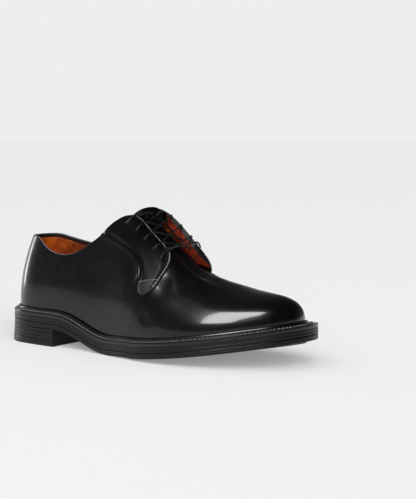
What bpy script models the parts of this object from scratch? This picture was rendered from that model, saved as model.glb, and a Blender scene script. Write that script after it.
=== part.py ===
"""Plain-toe derby shoe for the right foot, at its real size in metres.

The toe points along +X, the outer side of the foot is towards -Y and +Z is up. The origin is on the
floor, under the middle of the shoe's length and width. Every leather piece is worked out from one last:
a closed form given by the table of sections below. The upper, facings, tongue and insole are offsets
from it, and the welt, midsole, outsole and heel follow its bottom line.
"""

import math

import bmesh
import bpy
import numpy as np
from mathutils import Matrix, Vector

# Last: the form that the shoe is made on, measured at the outside of the upper
LAST_LENGTH = 0.288
BALL_WIDTH = 0.094
INSTEP_HEIGHT = 0.118
HEEL_RADIUS = 0.028
TOE_RADIUS = 0.032
TOE_SWING = 0.004

# Sole
HEEL_HEIGHT = 0.015
HEEL_LENGTH = 0.069
OUTSOLE_THICKNESS = 0.005
MIDSOLE_THICKNESS = 0.005
WELT_THICKNESS = 0.003
TOE_SPRING = 0.020
TREAD_START = 0.141
TREAD_END = 0.168
CROWN = 0.0012
CROWN_LENGTH = 0.040
EDGE_HEEL = 0.006
EDGE_WAIST = 0.0055
EDGE_BALL = 0.0085
EDGE_TOE = 0.011
TOP_LIFT_THICKNESS = 0.006
BREAST_HOLLOW = 0.002
EDGE_ROUND = 0.0012
HEEL_LIFTS = 3
HEEL_FLARE = 0.001

# Storm bead of the welt, and the clearance between pieces
BEAD_HEIGHT = 0.003
BEAD_WIDTH = 0.0022
SEAM_GAP = 0.0003

# Upper
WALL = 0.002
FACING_THICKNESS = 0.0014
TAB_EDGE_MARGIN = 0.004

# Insole and tongue
INSOLE_THICKNESS = 0.005
TONGUE_THICKNESS = 0.0022
TONGUE_CLEARANCE = 0.0012
TONGUE_TOP = 0.435
TONGUE_FOOT = 0.680

# Lacing
EYELET_PAIRS = 5
EYELET_RADIUS = 0.0015
LACE_RADIUS = 0.0011
LACE_CLEARANCE = 0.0006
LACE_SPREAD = 0.0048

# Mesh density: stations along the shoe, and rings up its side
HEEL_STATIONS = 15
FACING_STATIONS = 7
VAMP_STATIONS = 16
SIDE_RINGS = 10
VAMP_RINGS = 5
SOLE_STATIONS = 34
TUBE_SIDES = 8

OUTER, INNER = -1, 1

# Half widths of the last's bottom line, as shares of the ball width
BOTTOM_LINE = (
    # along, outer, inner
    (0.05, 0.258, 0.258),
    (0.12, 0.314, 0.314),
    (0.22, 0.342, 0.322),
    (0.33, 0.372, 0.285),
    (0.43, 0.414, 0.268),
    (0.53, 0.470, 0.330),
    (0.62, 0.515, 0.415),
    (0.70, 0.530, 0.472),
    (0.78, 0.508, 0.478),
    (0.86, 0.431, 0.431),
    (0.93, 0.318, 0.328),
    (0.975, 0.212, 0.218),
)

# Ridge over the foot: height as a share of the instep height, and shift to the inner side as a share
# of the ball width
RIDGE = (
    # along, height, shift
    (0.10, 1.080, 0.000),
    (0.25, 1.120, 0.010),
    (0.37, 1.110, 0.025),
    (0.44, 1.060, 0.050),
    (0.50, 0.990, 0.062),
    (0.56, 0.885, 0.068),
    (0.62, 0.755, 0.064),
    (0.67, 0.655, 0.058),
    (0.72, 0.575, 0.050),
    (0.77, 0.524, 0.048),
    (0.84, 0.487, 0.045),
    (0.92, 0.468, 0.040),
)

# Shape of the side between bottom line and ridge: how far up the side stays steep, how far out the
# top stays flat, and how far the side swells past the bottom line as a share of the ball width
FULLNESS = (
    # along, side, top, swell
    (0.00, 0.40, 0.42, 0.040),
    (0.20, 0.42, 0.45, 0.042),
    (0.36, 0.48, 0.52, 0.035),
    (0.50, 0.55, 0.68, 0.032),
    (0.62, 0.54, 0.64, 0.036),
    (0.80, 0.58, 0.62, 0.035),
    (1.00, 0.64, 0.68, 0.030),
)


# Edge of the upper's opening: how far up the side it runs, 1 being the ridge
COLLAR_EDGE = (
    # along, outer, inner
    (0.000, 0.500, 0.500),
    (0.050, 0.497, 0.494),
    (0.088, 0.484, 0.474),
    (0.139, 0.424, 0.445),
    (0.194, 0.376, 0.416),
    (0.239, 0.364, 0.404),
    (0.280, 0.384, 0.418),
    (0.335, 0.455, 0.480),
    (0.382, 0.548, 0.575),
    (0.433, 0.702, 0.730),
    (0.470, 0.772, 0.800),
    (0.532, 0.762, 0.796),
    (0.620, 0.752, 0.786),
    (0.700, 0.750, 0.780),
    (1.000, 0.750, 0.750),
)
THROAT = 0.630

# Rear and front edges of a facing, from the collar down to the tab
FACING_EDGES = (
    # down, rear along, rear rise, front along, front rise
    (0.00, 0.382, 0.548, 0.466, 0.790),
    (0.18, 0.430, 0.532, 0.528, 0.790),
    (0.36, 0.478, 0.522, 0.580, 0.780),
    (0.52, 0.522, 0.512, 0.612, 0.742),
    (0.66, 0.550, 0.476, 0.627, 0.670),
    (0.80, 0.562, 0.400, 0.629, 0.560),
    (0.91, 0.560, 0.322, 0.621, 0.425),
    (1.00, 0.572, 0.282, 0.606, 0.325),
)

# Eyelets of the outer facing
EYELET_LINE = (
    # pair, along, rise
    (0.0, 0.464, 0.690),
    (1.0, 0.502, 0.672),
    (2.0, 0.537, 0.658),
    (3.0, 0.572, 0.650),
    (4.0, 0.601, 0.639),
)
INNER_EYELET_LIFT = 0.030

# Depth of the tongue's middle under the ridge, in metres, where the lace holds it down
TONGUE_DEPTH = (
    # along, depth
    (0.43, 0.0005),
    (0.46, 0.0030),
    (0.50, 0.0062),
    (0.56, 0.0062),
    (0.62, 0.0042),
    (0.69, 0.0032),
)


def smooth_curve(knots, values):
    """The natural cubic spline through these values, as a function of numbers or arrays."""
    x, y = np.asarray(knots, float), np.asarray(values, float)
    h = np.diff(x)
    n = len(x)
    a = np.eye(n)
    b = np.zeros(n)
    for i in range(1, n - 1):
        a[i, i - 1 : i + 2] = h[i - 1], 2 * (h[i - 1] + h[i]), h[i]
        b[i] = 6 * ((y[i + 1] - y[i]) / h[i] - (y[i] - y[i - 1]) / h[i - 1])
    bend = np.linalg.solve(a, b)

    def value(at):
        at = np.clip(np.asarray(at, float), x[0], x[-1])
        i = np.clip(np.searchsorted(x, at) - 1, 0, n - 2)
        left, right = (x[i + 1] - at) / h[i], (at - x[i]) / h[i]
        cubic = (left**3 - left) * bend[i] + (right**3 - right) * bend[i + 1]
        return left * y[i] + right * y[i + 1] + cubic * h[i] ** 2 / 6

    return value


def ease(t):
    """0 to 1 with level ends and no kink in the curvature."""
    t = np.clip(t, 0.0, 1.0)
    return t**3 * (t * (6 * t - 15) + 10)


def soft_min(a, b, width):
    return (a + b - np.sqrt((a - b) ** 2 + width**2)) / 2


def turn_of(along):
    """The angle round the last's half outline, 0 at the heel and pi at the toe."""
    return np.arccos(np.clip(1 - 2 * np.asarray(along, float), -1.0, 1.0))


def outline_curve(column):
    """Half width over the sine of the turn, so that heel and toe close in round ends."""
    turns = [0.0] + [float(turn_of(row[0])) for row in BOTTOM_LINE] + [math.pi]
    ends = [math.sqrt(radius * LAST_LENGTH / 2) for radius in (HEEL_RADIUS, TOE_RADIUS)]
    inside = [row[column] * BALL_WIDTH / math.sin(turn_of(row[0])) for row in BOTTOM_LINE]
    return smooth_curve(turns, [ends[0]] + inside + [ends[1]])


def column_curve(table, column, scale=1.0):
    return smooth_curve([row[0] for row in table], [row[column] * scale for row in table])


HALF_WIDTH = {OUTER: outline_curve(1), INNER: outline_curve(2)}
RIDGE_HEIGHT = column_curve(RIDGE, 1, INSTEP_HEIGHT)
RIDGE_SHIFT = column_curve(RIDGE, 2, BALL_WIDTH)
SIDE_FULLNESS = column_curve(FULLNESS, 1)
TOP_FULLNESS = column_curve(FULLNESS, 2)
SWELL = column_curve(FULLNESS, 3, BALL_WIDTH)
RIDGE_HEEL_END = 0.135
RIDGE_TOE_END = 0.905
RIDGE_BLEND = 0.06
SOLE_LENGTH = EDGE_HEEL + LAST_LENGTH + EDGE_TOE
STACK = OUTSOLE_THICKNESS + MIDSOLE_THICKNESS + WELT_THICKNESS


def sole_bottom(x):
    """Height of the outsole's underside at x behind-to-front from the sole's back edge."""
    shank = 1 - ease((x - HEEL_LENGTH + 0.006) / (TREAD_START - HEEL_LENGTH + 0.006))
    spring = np.clip((x - TREAD_END) / (SOLE_LENGTH - TREAD_END), 0.0, None) ** 1.25
    return HEEL_HEIGHT * shank + TOE_SPRING * spring


def edge_bottom(x):
    """Height of the outsole's lower edge, which the crown of the forefoot lifts off the floor."""
    return sole_bottom(x) + CROWN * ease((x - TREAD_START + 0.3 * CROWN_LENGTH) / CROWN_LENGTH)


def seat_height(x):
    """Height of the welt's top, where the upper stands."""
    return edge_bottom(x) + STACK


def swing(along):
    """Sideways shift of the last's middle line, which turns inwards at the toe."""
    return TOE_SWING * ease((np.asarray(along, float) - 0.45) / 0.55)


def at_seams(turn, rise=0.0):
    """Whether both sides of the last meet here: at the heel, the toe or the ridge."""
    return turn < 1e-6 or turn > math.pi - 1e-6 or rise > 1 - 1e-6


def bottom_point(side, turn):
    """The last's bottom line, x measured from the sole's back edge."""
    along = (1 - np.cos(turn)) / 2
    x = EDGE_HEEL + LAST_LENGTH * along
    y = swing(along) + side * HALF_WIDTH[side](turn) * np.sin(turn)
    return np.array([x, y, seat_height(x)])


def bottom_normal(side, turn):
    """Unit vector out of the bottom line, level with the floor."""
    if at_seams(turn):
        return np.array([-math.cos(turn), 0.0, 0.0])
    step = 1e-4
    a = bottom_point(side, max(turn - step, 0.0))
    b = bottom_point(side, min(turn + step, math.pi))
    along = (b - a)[:2] / np.linalg.norm((b - a)[:2])
    return np.array([-along[1], along[0], 0.0]) * side


def ridge_at(turn):
    """The point of the ridge over this turn, and the ridge's slope there."""
    ridge_along = soft_min((1 - math.cos(turn)) / 2, RIDGE_TOE_END, RIDGE_BLEND)
    ridge_along = -soft_min(-ridge_along, -RIDGE_HEEL_END, RIDGE_BLEND)
    step = 1e-3
    slope = (RIDGE_HEIGHT(ridge_along + step) - RIDGE_HEIGHT(ridge_along - step)) / (2 * step * LAST_LENGTH)
    top = np.array(
        [
            EDGE_HEEL + LAST_LENGTH * ridge_along,
            swing(ridge_along) + RIDGE_SHIFT(ridge_along),
            RIDGE_HEIGHT(ridge_along),
        ]
    )
    return top, slope


def last_point(side, turn, rise):
    """A point of the last's surface: rise runs from 0 at the bottom line to 1 on the ridge."""
    foot = bottom_point(side, turn)
    along = (1 - math.cos(turn)) / 2
    top, slope = ridge_at(turn)
    reach = (foot - top) * TOP_FULLNESS(along)
    steep = foot + bottom_normal(side, turn) * SWELL(along)
    steep[2] += (top[2] - foot[2]) * SIDE_FULLNESS(along)
    flat = top + np.array([reach[0], reach[1], slope * reach[0]])
    keep = 1 - rise
    return keep**3 * foot + 3 * keep**2 * rise * steep + 3 * keep * rise**2 * flat + rise**3 * top


def last_normal(side, turn, rise):
    """Unit vector out of the last's surface."""
    if rise > 1 - 1e-6:
        slope = ridge_at(turn)[1]
        return np.array([-slope, 0.0, 1.0]) / math.hypot(slope, 1.0)
    step = 1e-3
    low_turn, high_turn = max(turn - step, 1e-4), min(turn + step, math.pi - 1e-4)
    low_rise, high_rise = max(rise - step, 0.0), min(rise + step, 1.0)
    round_ = last_point(side, high_turn, rise) - last_point(side, low_turn, rise)
    up = last_point(side, turn, high_rise) - last_point(side, turn, low_rise)
    normal = np.cross(round_, up) * -side
    return normal / np.linalg.norm(normal)


COLLAR = {OUTER: column_curve(COLLAR_EDGE, 1), INNER: column_curve(COLLAR_EDGE, 2)}
TONGUE_DROP = column_curve(TONGUE_DEPTH, 1)
EDGE_WIDTH = smooth_curve((0.0, 0.2, 0.45, 0.7, 1.0), (EDGE_HEEL, EDGE_WAIST, EDGE_WAIST, EDGE_BALL, EDGE_TOE))


def on_welt(place, height):
    """The point at this height over the welt's top, above or below the given one."""
    return np.array([place[0], place[1], seat_height(place[0]) + height])


def skin_point(side, turn, rise, offset):
    """A point at this distance outside the last, the same from both sides where they meet."""
    if rise < 1e-6:
        return on_welt(bottom_point(side, turn) + bottom_normal(side, turn) * offset, SEAM_GAP)
    sides = (OUTER, INNER) if at_seams(turn, rise) else (side,)
    normal = sum(last_normal(each, turn, rise) for each in sides)
    return last_point(side, turn, rise) + normal / np.linalg.norm(normal) * offset


def edge_width(turn):
    return float(EDGE_WIDTH((1 - math.cos(turn)) / 2))


def edge_point(side, turn, inset=0.0):
    """The sole's outline in plan, at this inset from its edge."""
    return (bottom_point(side, turn) + bottom_normal(side, turn) * (edge_width(turn) - inset))[:2]


def grid_faces(rows, closed=False):
    """The quads of a grid of points, whose rows may each be a closed ring."""
    faces = []
    for near, far in zip(rows, rows[1:]):
        count = len(near)
        for j in range(count if closed else count - 1):
            k = (j + 1) % count
            faces.append((near[j], near[k], far[k], far[j]))
    return faces


def add_solid(name, faces, material, smooth_angle=35.0):
    """One closed object from polygons given by their points; points at the same place are one vertex."""
    places, points, polygons = {}, [], []
    for face in faces:
        corners = []
        for point in face:
            key = tuple(int(round(float(c) * 1e7)) for c in point)
            if key not in places:
                places[key] = len(points)
                points.append([float(c) for c in point])
            if places[key] not in corners:
                corners.append(places[key])
        if len(corners) > 2:
            polygons.append(corners)
    mesh = bpy.data.meshes.new(name)
    mesh.from_pydata(points, [], polygons)
    mesh.materials.append(material)
    shape = bmesh.new()
    shape.from_mesh(mesh)
    bmesh.ops.recalc_face_normals(shape, faces=shape.faces)
    for face in shape.faces:
        face.smooth = True
    for edge in shape.edges:
        if len(edge.link_faces) == 2 and edge.calc_face_angle() > math.radians(smooth_angle):
            edge.smooth = False
    shape.to_mesh(mesh)
    shape.free()
    thing = bpy.data.objects.new(name, mesh)
    bpy.context.scene.collection.objects.link(thing)
    return thing


def add_material(name, colour, roughness):
    material = bpy.data.materials.new(name)
    material.use_nodes = True
    shader = material.node_tree.nodes["Principled BSDF"]
    shader.inputs["Base Color"].default_value = (*colour, 1.0)
    shader.inputs["Roughness"].default_value = roughness
    return material


def turns_between(start, end, count):
    """Turns from one share of the last's length to another, evenly spaced round the outline."""
    return [float(t) for t in np.linspace(turn_of(start), turn_of(end), count + 1)]


def upper_faces():
    """Outside and inside skins, joined round the collar, across the throat and under the feather line."""
    corner = COLLAR_EDGE[10][0]
    turns = turns_between(0.0, corner, HEEL_STATIONS)
    turns += turns_between(corner, THROAT, FACING_STATIONS)[1:]
    throat = len(turns) - 1
    turns += turns_between(THROAT, 1.0, VAMP_STATIONS)[1:]
    faces = []
    for side in (OUTER, INNER):
        skins = []
        for offset in (0.0, -WALL):
            columns = []
            for station, turn in enumerate(turns):
                edge = float(COLLAR[side]((1 - math.cos(turn)) / 2))
                if station >= throat:
                    edge_rises = [edge + (1 - edge) * k / VAMP_RINGS for k in range(1, VAMP_RINGS + 1)]
                else:
                    edge_rises = []
                rises = [edge * j / SIDE_RINGS for j in range(SIDE_RINGS + 1)] + edge_rises
                columns.append([skin_point(side, turn, rise, offset) for rise in rises])
            skins.append(columns)
            faces += grid_faces([column[: SIDE_RINGS + 1] for column in columns])
            faces += grid_faces([column[SIDE_RINGS:] for column in columns[throat:]])
        outside, inside = skins
        faces += grid_faces([[column[0] for column in skin] for skin in skins])
        faces += grid_faces([[column[SIDE_RINGS] for column in skin[: throat + 1]] for skin in skins])
        faces += grid_faces([outside[throat][SIDE_RINGS:], inside[throat][SIDE_RINGS:]])
    return faces


def facing_faces(side):
    """A band on the quarter, from the collar along the opening and down to a rounded tab."""
    curves = [column_curve(FACING_EDGES, column) for column in range(1, 5)]
    lift = 0.0 if side == OUTER else INNER_EYELET_LIFT
    rows, across = 20, 7
    skins = []
    for offset in (SEAM_GAP, SEAM_GAP + FACING_THICKNESS):
        skin = []
        for i in range(rows + 1):
            rear_along, rear_rise, front_along, front_rise = (float(curve(i / rows)) for curve in curves)
            row = []
            for j in range(across + 1):
                share = j / across
                along = rear_along + (front_along - rear_along) * share
                rise = rear_rise + (front_rise - rear_rise) * share + lift
                rise = min(rise, float(COLLAR[side](along)) - TAB_EDGE_MARGIN)
                row.append(skin_point(side, float(turn_of(along)), rise, offset))
            skin.append(row)
        skins.append(skin)
    return shell_faces(skins)


def shell_faces(skins):
    """Two grids facing each other, closed round their edges."""
    faces = grid_faces(skins[0]) + grid_faces(skins[1])
    for pick in (
        lambda skin: skin[0],
        lambda skin: skin[-1],
        lambda skin: [row[0] for row in skin],
        lambda skin: [row[-1] for row in skin],
    ):
        faces += grid_faces([pick(skins[0]), pick(skins[1])])
    return faces


def tongue_faces():
    """A pad under the facings, whose foot runs in under the vamp."""
    rows, across = 12, 12
    skins = []
    for layer in (0.0, TONGUE_THICKNESS):
        skin = []
        for i in range(rows + 1):
            along = TONGUE_TOP + (TONGUE_FOOT - TONGUE_TOP) * i / rows
            turn = float(turn_of(along))
            low = 0.60 + 0.05 * i / rows
            row = []
            for j in range(across + 1):
                share = 2 * j / across - 1
                side = OUTER if share < 0 else INNER
                rise = 1 - (1 - low) * abs(share)
                bow = 0.004 * (1 - ease((i / rows) / 0.12)) * share**2
                depth = WALL + TONGUE_CLEARANCE
                depth += max(0.0, float(TONGUE_DROP(along)) - depth) * float(ease((rise - low) / 0.22))
                if i < 2:
                    depth += (float(TONGUE_DROP(along)) - depth) * float(ease((rise - 0.78) / 0.2))
                place = skin_point(side, turn, rise, -depth - layer)
                row.append(place - np.array([0.0, 0.0, bow]))
            skin.append(row)
        skins.append(skin)
    return shell_faces(skins)


def steady(value):
    return lambda turn: value


def slab_faces(turns, shares, low, high, insets=None, hollow=0.0, round_edge=0.0):
    """A layer of the sole from rings across the shoe; turns holds one pair, outer and inner, per ring."""
    insets = insets or (steady(0.0), steady(0.0))
    rings, caps = [], []
    for station, pair in enumerate(turns):
        progress = station / (len(turns) - 1)

        def row(inset, height, lift=0.0):
            outer, inner = (edge_point(side, turn, inset(turn)) for side, turn in zip((OUTER, INNER), pair))
            places = []
            for share in shares:
                plan = outer + (inner - outer) * (share + 1) / 2
                x = plan[0] - hollow * (1 - share**2) * progress**2
                places.append(np.array([x, plan[1], height(x, share) + lift]))
            return places

        bottom = row(lambda turn: insets[0](turn) + round_edge, low)
        corners = row(insets[0], low, round_edge)
        top = row(insets[1], high)
        rounded = [corners[-1]] if round_edge else []
        closing = [corners[0]] if round_edge else []
        rings.append(bottom + rounded + top[::-1] + closing)
        if abs(top[0][1] - top[-1][1]) > 1e-5:
            caps = grid_faces([bottom, top])
            if round_edge:
                caps += [(bottom[-1], corners[-1], top[-1]), (bottom[0], top[0], corners[0])]
        else:
            caps = []
    return grid_faces(rings, closed=True) + caps


def breast_turn(side):
    """The turn at which the sole's edge reaches the front of the heel."""
    low, high = 0.0, math.pi / 2
    for _ in range(40):
        middle = (low + high) / 2
        if edge_point(side, middle)[0] < HEEL_LENGTH:
            low = middle
        else:
            high = middle
    return low


def level(height):
    return lambda x, share: height


def over_edge(height):
    """A surface at this height over the outsole's lower edge."""
    return lambda x, share: float(edge_bottom(x)) + height


def outsole_under(x, share):
    """The outsole's underside, whose middle comes down to the floor under the ball of the foot."""
    middle, edge = float(sole_bottom(x)), float(edge_bottom(x))
    return middle + (edge - middle) * float(ease((abs(share) - 0.45) / 0.55))


def flank_offset(side, turn, height):
    """How far the upper has swelled past its bottom line at this height over the welt."""
    along = (1 - math.cos(turn)) / 2
    foot = bottom_point(side, turn)
    rise = height / (3 * float(SIDE_FULLNESS(along)) * (last_point(side, turn, 1.0)[2] - foot[2]))
    place = last_point(side, turn, rise)
    return float((place - foot) @ bottom_normal(side, turn))


def welt_faces():
    """A strip all round the shoe under the upper's edge, with a bead raised against the upper."""
    turns = turns_between(0.0, 1.0, SOLE_STATIONS)
    loop = [(OUTER, turn) for turn in turns] + [(INNER, turn) for turn in turns[-2:0:-1]]
    rings = []
    for side, turn in loop:
        foot = bottom_point(side, turn)
        normal = bottom_normal(side, turn)
        reach = edge_width(turn)
        wall = flank_offset(side, turn, BEAD_HEIGHT) + SEAM_GAP
        base = -WELT_THICKNESS
        profile = (
            (reach, base),
            (reach, 0.0),
            (wall + BEAD_WIDTH, 0.0),
            (wall + 0.92 * BEAD_WIDTH, 0.65 * BEAD_HEIGHT),
            (wall + 0.5 * BEAD_WIDTH, BEAD_HEIGHT),
            (wall + 0.1 * BEAD_WIDTH, 0.8 * BEAD_HEIGHT),
            (SEAM_GAP, 0.0),
            (-WALL, 0.0),
            (-WALL, base),
        )
        rings.append([on_welt(foot + normal * out, up) for out, up in profile])
    return grid_faces(rings + rings[:1], closed=True)


def eyelet(side, pair):
    """The share along the last and the rise of an eyelet, counted from the top of the facing."""
    along = float(column_curve(EYELET_LINE, 1)(pair))
    rise = float(column_curve(EYELET_LINE, 2)(pair))
    return along, rise + (INNER_EYELET_LIFT if side == INNER else 0.0)


def tube_faces(points, radius, sides=TUBE_SIDES):
    """A round cord through these points, closed by flat ends."""
    points = [Vector(point) for point in points]
    rings = []
    reference = Vector((0.0, 0.0, 1.0))
    for i, point in enumerate(points):
        before, after = points[max(i - 1, 0)], points[min(i + 1, len(points) - 1)]
        axis = (after - before).normalized()
        out = (reference - axis * reference.dot(axis)).normalized()
        across = axis.cross(out)
        ring = []
        for k in range(sides):
            angle = 2 * math.pi * k / sides
            ring.append(point + out * radius * math.cos(angle) + across * radius * math.sin(angle))
        rings.append(ring)
    return grid_faces(rings, closed=True) + [rings[0], rings[-1]]


def eyelet_cutters(side):
    """Round pins through the facing and the upper, one for each eyelet."""
    faces = []
    for pair in range(EYELET_PAIRS):
        along, rise = eyelet(side, pair)
        turn = float(turn_of(along))
        pin = [skin_point(side, turn, rise, offset) for offset in (-2 * WALL, 2 * WALL)]
        faces += tube_faces(pin, EYELET_RADIUS)
    return faces


def lace_path(start_side, start_pair, end_pair):
    """From an eyelet, over the facing's edge and across to the other facing."""
    lift = SEAM_GAP + FACING_THICKNESS + LACE_RADIUS + LACE_CLEARANCE
    places = []
    last_sense = -1 if end_pair > start_pair else 1
    for side, pair, sense in ((start_side, start_pair, 1), (-start_side, end_pair, last_sense)):
        along, rise = eyelet(side, pair)
        shift = LACE_SPREAD * sense
        edge_rise = float(COLLAR[side](along)) + 0.015
        legs = []
        for share in (0.0, 0.5, 1.0):
            here = along + shift * (1 + 0.9 * share)
            turn = float(turn_of(here))
            legs.append(skin_point(side, turn, rise + (edge_rise - rise) * share, lift))
        places += legs if side == start_side else legs[::-1]
    return places


def cut(thing, cutter, operation="DIFFERENCE"):
    modifier = thing.modifiers.new("cut", "BOOLEAN")
    modifier.operation = operation
    modifier.solver = "EXACT"
    modifier.object = cutter
    cutter.hide_render = True
    cutter.display_type = "WIRE"


def build_sole(materials):
    even = [(turn, turn) for turn in turns_between(0.0, 1.0, SOLE_STATIONS)]
    wide = (-1.0, -0.86, -0.66, -0.45, 0.0, 0.45, 0.66, 0.86, 1.0)
    narrow = (-1.0, 0.0, 1.0)
    add_solid(
        "outsole",
        slab_faces(even, wide, outsole_under, over_edge(OUTSOLE_THICKNESS - SEAM_GAP), round_edge=EDGE_ROUND),
        materials["outsole"],
    )
    add_solid(
        "midsole",
        slab_faces(even, narrow, over_edge(OUTSOLE_THICKNESS), over_edge(STACK - WELT_THICKNESS - SEAM_GAP)),
        materials["edge"],
    )
    add_solid("welt", welt_faces(), materials["edge"])
    base = STACK - WELT_THICKNESS
    inside = (lambda turn: edge_width(turn) + WALL + 2 * SEAM_GAP,) * 2
    add_solid(
        "insole",
        slab_faces(even, narrow, over_edge(base), over_edge(base + INSOLE_THICKNESS), inside),
        materials["lining"],
    )


def build_heel(materials):
    fronts = breast_turn(OUTER), breast_turn(INNER)
    count = 10
    turns = [tuple(front * i / count for front in fronts) for i in range(count + 1)]
    shares = (-1.0, -0.5, 0.0, 0.5, 1.0)
    lift_height = (HEEL_HEIGHT - TOP_LIFT_THICKNESS) / HEEL_LIFTS
    layers = [("top_lift", 0.0, TOP_LIFT_THICKNESS, "outsole", EDGE_ROUND / 2)]
    for k in range(HEEL_LIFTS):
        base = TOP_LIFT_THICKNESS + k * lift_height
        layers.append((f"heel_lift_{k + 1}", base, base + lift_height, "edge", 0.0))
    for name, base, top, material, rounding in layers:
        insets = tuple(steady(HEEL_FLARE * (height / HEEL_HEIGHT - 1)) for height in (base, top))
        faces = slab_faces(turns, shares, level(base), level(top - SEAM_GAP), insets, BREAST_HOLLOW, rounding)
        add_solid(name, faces, materials[material])


def build_upper(materials):
    upper = add_solid("upper", upper_faces(), materials["leather"])
    for side, word in ((OUTER, "outer"), (INNER, "inner")):
        facing = add_solid(f"facing_{word}", facing_faces(side), materials["leather"])
        pins = add_solid(f"eyelet_pins_{word}", eyelet_cutters(side), materials["leather"])
        cut(facing, pins)
        cut(upper, pins)
    add_solid("tongue", tongue_faces(), materials["leather"])


def build_lace(materials):
    last = EYELET_PAIRS - 1
    add_solid("lace_bar", tube_faces(lace_path(OUTER, last, last), LACE_RADIUS), materials["lace"])
    for pair in range(last):
        cross = add_solid(
            f"lace_cross_{pair + 1}", tube_faces(lace_path(OUTER, pair, pair + 1), LACE_RADIUS), materials["lace"]
        )
        other = add_solid(
            f"lace_other_{pair + 1}", tube_faces(lace_path(INNER, pair, pair + 1), LACE_RADIUS), materials["lace"]
        )
        cut(cross, other, "UNION")


def stand_on_origin():
    """Bring the middle of the whole shoe over the origin, its length along X."""
    shown = [thing for thing in bpy.context.scene.objects if not thing.hide_render]
    corners = [vertex.co for thing in shown for vertex in thing.data.vertices]
    middle = [(min(c[axis] for c in corners) + max(c[axis] for c in corners)) / 2 for axis in (0, 1)]
    for thing in bpy.context.scene.objects:
        thing.data.transform(Matrix.Translation((-middle[0], -middle[1], 0.0)))
    print("moved by", -middle[0], -middle[1])


def main():
    for thing in list(bpy.data.objects):
        bpy.data.objects.remove(thing)
    materials = {
        "leather": add_material("black_leather", (0.012, 0.012, 0.013), 0.25),
        "lining": add_material("tan_lining", (0.45, 0.16, 0.04), 0.6),
        "edge": add_material("edge_leather", (0.015, 0.014, 0.014), 0.4),
        "outsole": add_material("sole_rubber", (0.012, 0.012, 0.012), 0.6),
        "lace": add_material("waxed_lace", (0.01, 0.01, 0.01), 0.5),
    }
    build_sole(materials)
    build_heel(materials)
    build_upper(materials)
    build_lace(materials)
    stand_on_origin()


main()
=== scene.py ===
"""Looks of a black plain-toe derby shoe: its leather, seams, lacing, welt and layered sole edge.

Lengths are in metres. Every leather piece is an offset from one last, the closed form that the tables
below give, as in the model that the frame was packed from.
"""

import math

import bmesh
import bpy
import numpy as np
from bpy.props import FloatProperty, FloatVectorProperty, PointerProperty
from mathutils import Matrix, Vector


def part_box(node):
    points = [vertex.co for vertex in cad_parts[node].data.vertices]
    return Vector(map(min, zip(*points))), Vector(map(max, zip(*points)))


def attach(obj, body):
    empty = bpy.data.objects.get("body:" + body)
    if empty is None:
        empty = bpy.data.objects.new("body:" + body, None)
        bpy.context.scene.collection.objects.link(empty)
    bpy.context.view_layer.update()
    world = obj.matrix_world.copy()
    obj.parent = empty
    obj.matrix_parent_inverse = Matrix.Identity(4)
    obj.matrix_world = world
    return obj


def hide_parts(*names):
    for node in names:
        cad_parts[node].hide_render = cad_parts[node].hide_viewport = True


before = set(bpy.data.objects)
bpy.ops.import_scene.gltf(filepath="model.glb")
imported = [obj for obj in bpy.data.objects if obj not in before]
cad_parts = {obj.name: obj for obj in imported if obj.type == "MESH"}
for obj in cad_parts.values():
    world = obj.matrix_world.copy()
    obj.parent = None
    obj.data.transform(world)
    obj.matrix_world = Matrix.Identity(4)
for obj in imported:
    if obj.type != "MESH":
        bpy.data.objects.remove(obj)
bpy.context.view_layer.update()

bl_info = {
    "name": "Derby shoe",
    "version": (1, 0, 0),
    "blender": (4, 5, 0),
    "location": "View3D > Sidebar > Derby",
    "description": "Dresses the packed derby shoe and lights it as in a studio",
    "category": "Object",
}

# Where the last's own zero, on the floor under the sole's back edge, lies in the frame
BACK_EDGE = float(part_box("outsole")[0][0])
MIDDLE_LINE = -0.00016

# Last
LAST_LENGTH = 0.288
BALL_WIDTH = 0.094
INSTEP_HEIGHT = 0.118
HEEL_RADIUS = 0.028
TOE_RADIUS = 0.032
TOE_SWING = 0.004
RIDGE_HEEL_END = 0.135
RIDGE_TOE_END = 0.905
RIDGE_BLEND = 0.06

# Sole
HEEL_HEIGHT = 0.015
HEEL_LENGTH = 0.069
OUTSOLE_THICKNESS = 0.005
MIDSOLE_THICKNESS = 0.005
WELT_THICKNESS = 0.003
TOE_SPRING = 0.020
TREAD_START = 0.141
TREAD_END = 0.168
CROWN = 0.0012
CROWN_LENGTH = 0.040
EDGE_HEEL = 0.006
EDGE_WAIST = 0.0055
EDGE_BALL = 0.0085
EDGE_TOE = 0.011
TOP_LIFT_THICKNESS = 0.006
BREAST_HOLLOW = 0.002
HEEL_LIFTS = 3
HEEL_FLARE = 0.001
SEAM_GAP = 0.0003
SOLE_LENGTH = EDGE_HEEL + LAST_LENGTH + EDGE_TOE
STACK = OUTSOLE_THICKNESS + MIDSOLE_THICKNESS + WELT_THICKNESS

# Upper, insole and lacing
WALL = 0.002
FACING_THICKNESS = 0.0014
INSOLE_THICKNESS = 0.005
EYELET_PAIRS = 5
EYELET_RADIUS = 0.0015
INNER_EYELET_LIFT = 0.030
THROAT = 0.630
COLLAR_END = 0.445
BINDING_WIDTH = 0.0026
LINING_SEAM_DEPTH = 0.0044
FACING_LEVEL = SEAM_GAP + FACING_THICKNESS
TAB_START = 0.862
TONGUE_START = 0.435
TONGUE_END = 0.668
TONGUE_LENGTH = 0.067
TONGUE_THICKNESS = 0.0022
TONGUE_ROLL = 0.0016
TONGUE_SEAM = 0.0042
TONGUE_SHARES = np.linspace(-1.0, 1.0, 81)[None]
BEAD_WIDTH = 0.002

# Finish of the mesh
MERGE_DISTANCE = 2e-6
SHARP_ANGLE = math.radians(40.0)
NORMAL_STEP = 0.001

OUTER, INNER = -1, 1
SIDES = (OUTER, INNER)

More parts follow.
